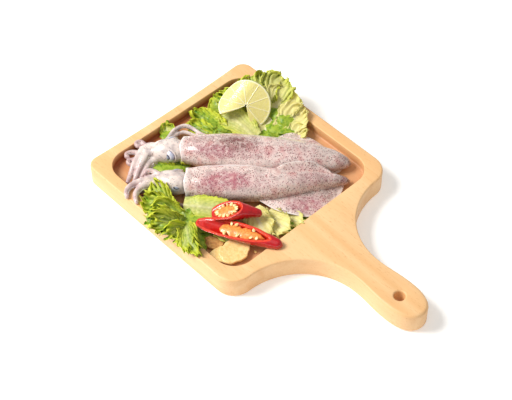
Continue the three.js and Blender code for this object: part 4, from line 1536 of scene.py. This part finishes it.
SKYWARD = (0.25, -0.25, 0.95)
CAMERAWARD = (0.45, -0.45, 0.77)
FOLDWARD = (0.3, -0.35, 0.9)  # out from the crease of the folded leaf
UNDERFOLD = (0.3, -0.3, 0.9)  # and from the layers beneath it
HEAPS = (
    LeafHeap(
        "lettuce_back",
        (
            Leaf(((-18, 50, 14), (-24, 66, 20), (-30, 82, 27), (-36, 97, 31)), (6, 15, 22, 21), SKYWARD,
                 2.6, 0.05, 0.2, 1.0, 1.0),
            Leaf(((-10, 56, 14), (-8, 70, 19), (-8, 82, 25), (-6, 93, 27)), (6, 12, 16, 14), SKYWARD,
                 2.4, 0.0, 0.25, 2.0, 1.0),
            Leaf(((-4, 60, 14), (2, 66, 17), (6, 74, 20), (8, 80, 21)), (5, 9, 11, 8), SKYWARD,
                 2.4, 0.05, 0.25, 2.6, 0.8),
            Leaf(((-38, 66, 24), (-48, 78, 29), (-57, 88, 32), (-64, 95, 33)), (8, 13, 15, 14), CAMERAWARD,
                 3.6, 0.3, 0.2, 3.0, 0.4),
            Leaf(((-34, 70, 24), (-38, 84, 30), (-44, 94, 34), (-46, 102, 35)), (8, 14, 17, 15), CAMERAWARD,
                 3.4, 0.2, 0.25, 4.0, 0.5),
            Leaf(((-50, 60, 22), (-60, 66, 26), (-66, 74, 29), (-70, 82, 30)), (7, 9, 10, 9), CAMERAWARD,
                 3.6, 0.4, 0.25, 5.0, 0.4),
            Leaf(((-50, 48, 15), (-62, 50, 21), (-72, 52, 25), (-79, 54, 27)), (8, 10, 11, 10), CAMERAWARD,
                 3.8, 0.7, 0.2, 6.0, 0.5),
            Leaf(((-50, 42, 14), (-62, 42, 19), (-72, 40, 23), (-80, 40, 25)), (8, 11, 12, 10), CAMERAWARD,
                 3.6, 0.8, 0.2, 7.0, 0.5),
            Leaf(((-20, 40, 15), (-34, 40, 19), (-48, 38, 21), (-62, 31, 20)), (8, 12, 13, 10), SKYWARD,
                 1.6, 0.25, 0.15, 8.0, 0.4),
            Leaf(((-44, 22, 13), (-56, 22, 16), (-68, 20, 18), (-82, 17, 21)), (7, 11, 11, 8), SKYWARD,
                 3.8, 0.95, 0.2, 9.0, 0.3),
            Leaf(((-50, 14, 13), (-60, 11, 15), (-68, 9, 16), (-76, 7, 17)), (7, 9, 9, 7), SKYWARD,
                 3.4, 1.0, 0.2, 10.0, 0.3),
        ),
    ),
    LeafHeap(
        "lettuce_corner",
        (
            Leaf(((-74, -16, 13), (-79, -15, 15), (-84, -14, 17), (-88, -13, 19)), (5, 7, 8, 6), CAMERAWARD,
                 2.6, 0.4, 0.2, 11.0, 0.2),
        ),
    ),
    LeafHeap(
        "lettuce_between",
        (
            Leaf(((-34, -32, 13), (-44, -38, 16), (-54, -45, 18), (-63, -50, 19)), (7, 10, 10, 7), CAMERAWARD,
                 3.2, 0.75, 0.2, 12.0, 0.3),
            Leaf(((-40, -42, 13), (-50, -48, 15), (-58, -52, 17), (-64, -55, 18)), (6, 8, 8, 6), CAMERAWARD,
                 3.0, 0.9, 0.2, 13.0, 0.2),
        ),
    ),
    LeafHeap(
        "lettuce_front",
        (
            Leaf(((4, -80, 17), (-10, -79, 23), (-23, -77, 27), (-33, -73, 27)), (6, 9, 10, 8), CAMERAWARD,
                 5.4, 0.6, 0.3, 14.0, 0.1),
            Leaf(((4, -78, 15), (-8, -84, 22), (-18, -88, 26), (-27, -88, 27)), (7, 11, 12, 10), CAMERAWARD,
                 5.4, 0.7, 0.25, 15.0, 0.1),
            Leaf(((14, -80, 16), (8, -92, 23), (2, -99, 26), (-3, -104, 26)), (7, 11, 12, 11), CAMERAWARD,
                 5.4, 0.6, 0.25, 16.0, 0.1),
            Leaf(((20, -82, 16), (20, -91, 22), (20, -98, 25), (19, -103, 25)), (6, 9, 10, 9), CAMERAWARD,
                 5.0, 0.5, 0.25, 17.0, 0.1),
            Leaf(((2, -76, 18), (-4, -82, 24), (-8, -88, 28), (-11, -94, 28)), (6, 9, 10, 8), CAMERAWARD,
                 5.6, 0.7, 0.3, 18.0, 0.1),
            Leaf(((8, -76, 18), (0, -79, 22), (-6, -81, 25), (-13, -82, 27)), (5, 7, 8, 6), CAMERAWARD,
                 5.0, 0.8, 0.3, 19.0, 0.1),
            Leaf(((12, -84, 20), (6, -88, 25), (0, -92, 28), (-6, -97, 29)), (5, 7, 8, 7), CAMERAWARD,
                 5.4, 0.55, 0.3, 29.0, 0.1),
        ),
    ),
    LeafHeap(
        "lettuce_fold",
        (
            Leaf(((2, -69, 24), (14, -61, 25.5), (28, -51, 26), (44, -40, 24)), (8, 11, 11, 9), FOLDWARD,
                 0.9, 0.35, -0.1, 20.0, 0.5),
            Leaf(((6, -74, 22), (16, -76, 18), (30, -72, 15), (48, -64, 14.5)), (7, 9, 9, 7), UNDERFOLD,
                 1.2, 1.0, 0.1, 21.0, 0.3),
            Leaf(((34, -60, 22), (44, -62, 20), (52, -60, 19), (58, -56, 18)), (6, 8, 8, 5), UNDERFOLD,
                 0.8, 0.2, 0.1, 22.0, 0.4),
            Leaf(((16, -80, 18), (26, -86, 24), (38, -94, 27), (54, -98, 25)), (5, 8, 8, 6), CAMERAWARD,
                 3.6, 0.6, 0.3, 23.0, 0.3),
            Leaf(((22, -82, 16), (30, -90, 22), (38, -99, 27), (44, -104, 26)), (5, 7, 8, 6), CAMERAWARD,
                 3.6, 0.55, 0.3, 24.0, 0.3),
        ),
    ),
    LeafHeap(
        "lettuce_right",
        (
            Leaf(((46, -26, 22), (56, -30, 21), (66, -33, 20), (76, -34, 19)), (8, 12, 13, 11), SKYWARD,
                 2.8, 0.03, 0.15, 25.0, 1.0),
            Leaf(((56, -18, 18), (66, -19, 18), (76, -20, 19), (86, -18, 21)), (8, 11, 12, 10), SKYWARD,
                 2.8, 0.02, 0.15, 26.0, 1.0),
            Leaf(((62, -8, 14), (72, -7, 16), (80, -5, 17.5), (88, -3, 19)), (6, 8, 9, 7), SKYWARD,
                 2.2, 0.05, 0.1, 27.0, 0.7),
            Leaf(((66, 2, 13), (74, 4, 13.5), (80, 6, 14), (86, 8, 14.5)), (4, 5, 5, 4), SKYWARD,
                 1.4, 0.05, 0.1, 28.0, 0.6),
        ),
    ),
)


# ---------------------------------------------------------------- lime
@dataclass
class LimeSlice:
    """Round slice of lime, cut along one radius, its lips twisted apart and one side drooping."""

    radius: float = 24.0
    thick: float = 3.6
    hub: float = 0.8
    opening: float = math.radians(79)
    twist: float = -0.24  # rise of a lip for each millimetre from the middle
    turn: float = math.radians(244)
    fold: float = math.radians(145)  # which side droops
    fold_from: float = 4.0  # distance from the middle to the start of the droop
    fold_radius: float = 15.0
    lean: float = math.radians(44)
    heading: float = math.radians(46.5)
    middle: Point = (-43.6, 50.6, 34.0)
    wedges: int = 10
    sunk: float = 0.3  # how far the pulp lies below the membranes

    def sheet(self, reach: Array, angle: Array, height: Array) -> Array:
        """Places points of the slice.

        Args:
            reach: Distance from the middle.
            angle: Angle round the slice, 0 in the middle of the opening.
            height: Height over the slice's own middle plane.

        Returns:
            Points in the frame.
        """
        z = height + self.twist * reach * np.cos(angle / 2)
        x = reach * np.cos(angle + self.turn)
        y = reach * np.sin(angle + self.turn)
        out = x * math.cos(self.fold) + y * math.sin(self.fold) - self.fold_from
        bent = np.maximum(out, 0) / self.fold_radius
        shift = np.where(out > 0, (self.fold_radius + z) * np.sin(bent) - out, 0)
        drooped = (self.fold_radius + z) * np.cos(bent) - self.fold_radius
        x = x + shift * math.cos(self.fold)
        y = y + shift * math.sin(self.fold)
        flat = np.stack([x, y, np.where(out > 0, drooped, z)], axis=-1)
        return carried(flat, self.middle, (self.heading, "Z"), (self.lean, "X"))

    def build(self) -> Piece:
        """Builds the slice, with wedges of pulp sunk a little between the membranes.

        Returns:
            The piece.
        """
        q, phi = np.meshgrid(np.linspace(0, 1, 46), np.linspace(-1, 1, 320), indexing="ij")
        reach = self.hub + q * (self.radius - self.hub)
        angle = np.pi + phi * (np.pi - self.opening / 2)
        place = (angle / (2 * np.pi) * self.wedges + 0.2) % 1
        from_web = np.minimum(place, 1 - place) / self.wedges * 2 * np.pi * reach
        web = np.maximum(1 - smooth(0.1, 0.55, from_web), 1 - smooth(1.0, 2.2, reach))
        inside = 1 - smooth(0.9, 0.94, q)
        spots = np.stack([reach * np.cos(angle), reach * np.sin(angle), q * 0], axis=-1)
        grain = rough(spots.reshape(-1, 3), 1.1, 1).reshape(q.shape) * 0.14 * inside
        edge = 0.7 * smooth(0.95, 1.0, q) ** 2
        top = self.thick / 2 - self.sunk * (1 - web) * inside + grain - edge
        shell = Shell()
        for height in (top, -top):
            shell.grid(self.sheet(reach, angle, height), reach=q, web=web)
        across = np.linspace(1, -1, 7)[:, None]
        ring = angle[-1][None]
        bulge = 1 + 0.016 * (1 - across**2)
        rim = self.sheet(reach[-1][None] * bulge, ring + 0 * across, across * top[-1][None])
        shell.grid(rim, reach=1.0, web=0.0)
        core = self.sheet(reach[0][None] + 0 * across, ring + 0 * across, across * top[0][None])
        shell.grid(core, reach=0.0, web=1.0)
        for i in (0, -1):
            lip = self.sheet(
                reach[:, i][None] + 0 * across, angle[:, i][None] + 0 * across, across * top[:, i][None]
            )
            shell.grid(lip, reach=q[:, i][None], web=0.3)
        return shell.piece("lime_slice_cut", LIME, "lime", "lime_slice")


# ---------------------------------------------------------------- chilli
@dataclass
class ChilliSlice:
    """Chilli cut on the slant: a hollow red trough with its seeds on an orange core."""

    node: str
    length: float
    radius: float
    middle: Point
    heading: float
    tilt: float
    roll: float
    face: float  # height of the cut above the chilli's axis
    slope: float  # rise of the cut towards the tip, per millimetre
    shape: Row  # radius along the chilli, as shares
    core: Row  # start and end of the core along the chilli
    seeds: int
    seed: int = 1
    wall: float = 2.1
    bow: float = 1.5
    radial: bool = False

    def place(self, points: Array) -> Array:
        """Rolls, tilts, turns and moves points from the chilli's own line."""
        turns = zip(map(math.radians, (self.heading, self.tilt, self.roll)), "ZYX", strict=True)
        return carried(points, self.middle, *turns)

    def size(self, v: Array) -> Array:
        """Outer radius at shares v of the length."""
        ends = np.sqrt(np.clip(1 - (1 - smooth(0, 0.06, v)) ** 2, 0, 1))
        ends = ends * np.sqrt(np.clip(1 - smooth(0.93, 1.0, v) ** 2, 0, 1))
        return self.radius * row_at(self.shape, v) * ends

    def cut(self, x: Array) -> Array:
        """Height of the knife's plane over the axis."""
        return self.face + self.slope * x

    def floor(self, y: Array, r: Array) -> Array:
        """Height of the hollow's inside at a place y across, where the outer radius is r."""
        inner = np.maximum(r - self.wall, 0.3)
        return -np.sqrt(np.clip(inner**2 - y**2, 0, None)) * 0.78

    def body(self) -> Piece:
        """Builds the skin, the cut wall and the hollow.

        Returns:
            The piece.
        """
        rows, outer, across = 150, 44, 40
        v = np.linspace(0.0, 1.0, rows)
        x = (v - 0.5) * self.length
        r = np.maximum(self.size(v), 0.05)
        cut = np.clip(self.cut(x), -r, r)
        chord = np.sqrt(np.maximum(r**2 - cut**2, 0))
        start = np.arctan2(cut, chord)
        turn = start[:, None] - (np.pi + 2 * start[:, None]) * np.linspace(0, 1, outer)[None]
        y = r[:, None] * np.cos(turn)
        z = r[:, None] * np.sin(turn)
        mark = np.zeros_like(y)
        share = np.linspace(-1, 1, across)[None]
        yy = chord[:, None] * share
        zz = np.broadcast_to(cut[:, None], yy.shape).copy()
        inner = np.maximum(chord - self.wall, 0.0)[:, None]
        within = smooth(0.0, 0.9, inner - np.abs(yy))
        hollow = np.minimum(self.floor(yy, r[:, None]), zz - 0.2)
        depth = within * smooth(0.6, 2.4, inner)
        zz = zz + (hollow - zz) * depth
        face = np.where(depth > 0.12, 0.5 + 0.5 * smooth(0.1, 0.7, depth), 0.5)
        edge = smooth(0.0, 0.5, chord[:, None] - np.abs(yy))
        face = face * (0.35 + 0.65 * edge)
        bend = self.bow * (1 - (2 * v - 1) ** 2)
        ys = np.concatenate([y, yy[:, 1:-1]], axis=1)
        zs = np.concatenate([z, zz[:, 1:-1]], axis=1) + bend[:, None]
        marks = np.concatenate([mark, face[:, 1:-1]], axis=1)
        xs = np.broadcast_to(x[:, None], ys.shape)
        points = np.stack([xs, ys, zs], axis=-1)
        points[..., 1] += rough(points.reshape(-1, 3), 6.0, self.seed).reshape(ys.shape) * 0.25
        shell = Shell()
        shell.grid(self.place(points), wrap=True, cut=marks)
        for row in (points[0], points[-1]):
            fan = np.stack([row, np.broadcast_to(row.mean(axis=0), row.shape)])
            shell.grid(self.place(fan), wrap=True, cut=0.0)
        return shell.piece(f"{self.node}_body", CHILLI, "chilli", self.node)

    def placenta(self) -> Piece:
        """Builds the spongy core that carries the seeds.

        Returns:
            The piece.
        """
        u, turn = sweep(70, 26)
        low, high = self.core
        v = low + (high - low) * u
        x = (v - 0.5) * self.length
        r = self.size(v)
        cut = np.clip(self.cut(x), -r, r)
        chord = np.sqrt(np.maximum(r**2 - cut**2, 0))
        wide = np.maximum(chord - self.wall, 0.4) * 0.86
        ends = np.sqrt(np.clip(1 - (2 * u - 1) ** 4, 0, 1))
        knobs = 1 + 0.16 * np.sin(u * 23 + 3 * np.sin(turn)) + 0.08 * np.sin(u * 51)
        y = wide * np.cos(turn) * ends * knobs
        top = cut - 0.5
        bottom = self.floor(y * 0.9, r)
        z = (top + bottom) / 2 + (top - bottom) / 2 * np.sin(turn) * ends
        bend = self.bow * (1 - (2 * v - 1) ** 2)
        points = np.stack([x + 0.4 * np.sin(turn * 2), y, z + bend], axis=-1)
        shell = Shell()
        shell.grid(self.place(points), wrap=True)
        return shell.piece(f"{self.node}_core", PLACENTA, "chilli")

    def seed_rows(self) -> Piece:
        """Builds the seeds: flat ovals 3.2 mm long standing round the core.

        Returns:
            The piece.
        """
        rng = np.random.default_rng(self.seed)
        shell = Shell()
        low, high = self.core
        for i in range(self.seeds):
            if self.radial:
                face_turn = 2 * np.pi * ((i + 0.5) / self.seeds)
                v = 0.5 * (low + high) + 0.4 * (high - low) * math.cos(face_turn)
                lateral = math.sin(face_turn) * 0.8
            else:
                v = low + (high - low) * rng.uniform(0.06, 0.98)
                lateral = rng.choice([-1, 1]) * rng.uniform(0.45, 0.86)
                face_turn = rng.uniform(0, np.pi)
            x = (v - 0.5) * self.length
            r = self.size(np.array([v]))[0]
            cut = min(self.cut(x), r)
            chord = math.sqrt(max(r * r - cut * cut, 0.0))
            y = lateral * max(chord - self.wall, 0.5)
            z = cut - rng.uniform(-0.2, 0.7) + self.bow * (1 - (2 * v - 1) ** 2)
            rise = self.slope * math.cos(face_turn) + rng.uniform(-0.25, 0.25)
            tip = Vector((math.cos(face_turn), math.sin(face_turn), rise)).normalized()
            seed_disc(shell, self, np.array([x, y, z]), tip, rng)
        return shell.piece(f"{self.node}_seeds", SEED, "chilli")

    def build(self) -> None:
        """Builds the slice, its core and its seeds."""
        self.body()
        self.placenta()
        self.seed_rows()


def seed_disc(
    shell: Shell, holder: ChilliSlice | None, middle: Array, tip: Vector, rng: np.random.Generator,
) -> None:
    """Adds one chilli seed: a flat rounded disc with a small point.

    Args:
        shell: Where the seed goes.
        holder: The chilli whose own line the seed is given in, or None for the frame.
        middle: Middle of the seed.
        tip: Which way its point looks.
        rng: Source of its size.
    """
    long, wide, thick = 1.75 * rng.uniform(0.9, 1.1), 1.35 * rng.uniform(0.9, 1.1), 0.42
    flat = np.array(tip.cross(Vector((rng.uniform(-0.5, 0.5), rng.uniform(-0.5, 0.5), 1)))).astype(float)
    flat = unit(flat)
    along = np.array(tip, float)
    normal = np.cross(along, flat)
    u, w = sweep(7, 14, np.pi)
    nose = 1 + 0.25 * np.clip(np.cos(w), 0, 1) ** 6
    fore, across = (along, np.sin(u) * np.cos(w) * long * nose), (flat, np.sin(u) * np.sin(w) * wide)
    points = shifted(middle, fore, across, (normal, np.cos(u) * thick))
    shell.grid(points if holder is None else holder.place(points), wrap=True)


LONG_CHILLI = ChilliSlice(
    node="chilli_long", length=84, radius=8.6, middle=(60, -56.5, 26.5), heading=27.5, tilt=3, roll=14,
    face=1.2, slope=0.15, shape=(0.62, 0.9, 1, 1, 0.94, 0.74, 0.5), core=(0.3, 0.8), seeds=9, seed=3,
)
SHORT_CHILLI = ChilliSlice(
    node="chilli_short", length=46, radius=9.2, middle=(46.5, -44.5, 33.4), heading=50, tilt=12, roll=8,
    face=5.6, slope=0.62, shape=(1, 1, 1, 0.9, 0.72, 0.52, 0.34), core=(0.08, 0.5), seeds=15, seed=5,
    radial=True,
)


# ---------------------------------------------------------------- ginger
@dataclass
class GingerSlice:
    """Thin slice of peeled ginger with an uneven outline and a slightly dished face."""

    node: str
    reach: Row
    turn: float
    lean: float
    heading: float
    seed: float
    thick: float = 3.0
    finish: Finish = GINGER

    def build(self) -> Piece:
        """Builds the slice where its CAD node lies.

        Returns:
            The piece.
        """
        low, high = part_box(self.node)
        middle = (low + high) / 2 / MM
        cols = 120
        phi = np.linspace(0, 2 * np.pi, cols, endpoint=False)
        edge = 1 + 0.06 * np.sin(2 * phi + self.seed) + 0.04 * np.sin(5 * phi + self.seed * 3)
        edge += 0.02 * np.sin(11 * phi + self.seed)
        rings = [(q, 1.0) for q in np.linspace(0.02, 0.93, 14)]
        rings += [(0.97, 0.86), (1.0, 0.45), (1.0, -0.45), (0.97, -0.86)]
        rings += [(q, -1.0) for q in np.linspace(0.93, 0.02, 6)]
        points = []
        for q, height in rings:
            x = np.cos(phi) * self.reach[0] * edge * q
            y = np.sin(phi) * self.reach[1] * edge * q
            z = np.full(cols, height * self.thick / 2)
            flat = np.stack([x, y, z], axis=1)
            z += rough(flat * (0.5, 1, 1), 2.6, self.seed) * 0.32 - 0.5 * (1 - q * q)
            points.append(np.stack([x, y, z], axis=1))
        shell = Shell()
        turns = (self.heading, "Z"), (self.lean, "X"), (self.turn, "Z")
        shell.grid(carried(np.array(points), middle, *turns), wrap=True)
        return shell.piece(f"{self.node}_slice", self.finish, "ginger", self.node)


GINGERS = (
    GingerSlice("ginger_1", (14.5, 12), 0.5, 0.16, 0.8, 0.4),
    GingerSlice("ginger_2", (11, 8.6), 0.2, 0.1, 0.8, 2.1),
    # the third slice takes the darker copy, which is partly painted shade
    GingerSlice("ginger_3", (9.5, 7), 0.1, 0.04, 0.5, 4.0, finish=GINGER_SIDE_AND_SHADE),
)


@dataclass
class LooseSeeds:
    """Chilli seeds that fell on the tray floor beside the long slice."""

    count: int = 6
    spread: Row = (70.0, 80.0, -54.0, -45.0)  # x from and to, y from and to
    height: float = 12.7

    def build(self) -> Piece:
        """Builds the seeds.

        Returns:
            The piece.
        """
        rng = np.random.default_rng(11)
        shell = Shell()
        for _ in range(self.count):
            x = rng.uniform(*self.spread[:2])
            y = rng.uniform(*self.spread[2:])
            turn = rng.uniform(0, 2 * np.pi)
            tip = Vector((math.cos(turn), math.sin(turn), 0))
            seed_disc(shell, None, np.array([x, y, self.height]), tip, rng)
        return shell.piece("loose_seeds", SEED, "chilli")


# ---------------------------------------------------------------- studio
@dataclass
class Studio:
    """Plain floor, soft daylight and the camera."""

    target: Point = (27.42, -3.52, 0.0)
    distance: float = 1257.5
    azimuth: float = 46.53
    elevation: float = 49.35
    lens: float = 95.76
    floor_half: float = 3000.0
    sky: float = 0.36
    key_watts: float = 27.5
    key_size: float = 620.0

    def away(self, azimuth: float, elevation: float) -> Vector:
        """Direction out from the board; azimuth 0 is -Y and 90 is +X, in degrees."""
        a, e = math.radians(azimuth), math.radians(elevation)
        return Vector((math.sin(a) * math.cos(e), -math.cos(a) * math.cos(e), math.sin(e)))

    def lamp(
        self, name: str, azimuth: float, elevation: float, far: float, size: float, watts: float
    ) -> None:
        """Adds a square soft lamp aimed at the board.

        Args:
            name: Name of the lamp.
            azimuth: Where it stands round the board, in degrees.
            elevation: How high it stands, in degrees.
            far: Distance in millimetres.
            size: Side in millimetres.
            watts: Power.
        """
        data = bpy.data.lights.new(name, "AREA")
        data.energy = watts
        data.size = size * MM
        lamp = bpy.data.objects.new(name, data)
        out = self.away(azimuth, elevation)
        lamp.location = out * far * MM
        lamp.rotation_euler = (-out).to_track_quat("-Z", "Y").to_euler()
        bpy.context.scene.collection.objects.link(lamp)

    def build(self) -> None:
        """Builds the floor, the light and the camera."""
        scene = bpy.context.scene
        scene.view_settings.view_transform = "Standard"
        world = bpy.data.worlds.new("daylight")
        scene.world = world
        world.use_nodes = True
        world.node_tree.nodes.clear()
        sky = add(world.node_tree, "Background", {"Color": "#fffdf9", "Strength": self.sky})
        add(world.node_tree, "OutputWorld", {"Surface": sky})
        h = self.floor_half * MM
        mesh = bpy.data.meshes.new("floor")
        mesh.from_pydata([(-h, -h, 0), (h, -h, 0), (h, h, 0), (-h, h, 0)], [], [(0, 1, 2, 3)])
        mesh.materials.append(material_of(PAPER))
        floor = bpy.data.objects.new("floor", mesh)
        floor.location.z = -0.3 * MM
        scene.collection.objects.link(floor)
        self.lamp("key", -42, 50, 1500, self.key_size, self.key_watts)
        self.lamp("fill", 60, 60, 1700, 1400, self.key_watts * 0.15)
        data = bpy.data.cameras.new("camera")
        data.lens = self.lens
        data.clip_end = 20
        camera = bpy.data.objects.new("camera", data)
        out = self.away(self.azimuth, self.elevation)
        camera.location = (Vector(self.target) + out * self.distance) * MM
        camera.rotation_euler = (-out).to_track_quat("-Z", "Y").to_euler()
        scene.collection.objects.link(camera)
        scene.camera = camera


def main() -> None:
    """Builds the whole object and the studio."""
    logging.basicConfig(level=logging.INFO, format="%(name)s: %(message)s")
    Studio().build()
    PaddleBoard().build()
    REAR.build()
    FRONT.build()
    LimeSlice().build()
    LONG_CHILLI.build()
    SHORT_CHILLI.build()
    for ginger in GINGERS:
        ginger.build()
    LooseSeeds().build()
    for heap in HEAPS:
        heap.build()


if __name__ == "__main__":
    main()
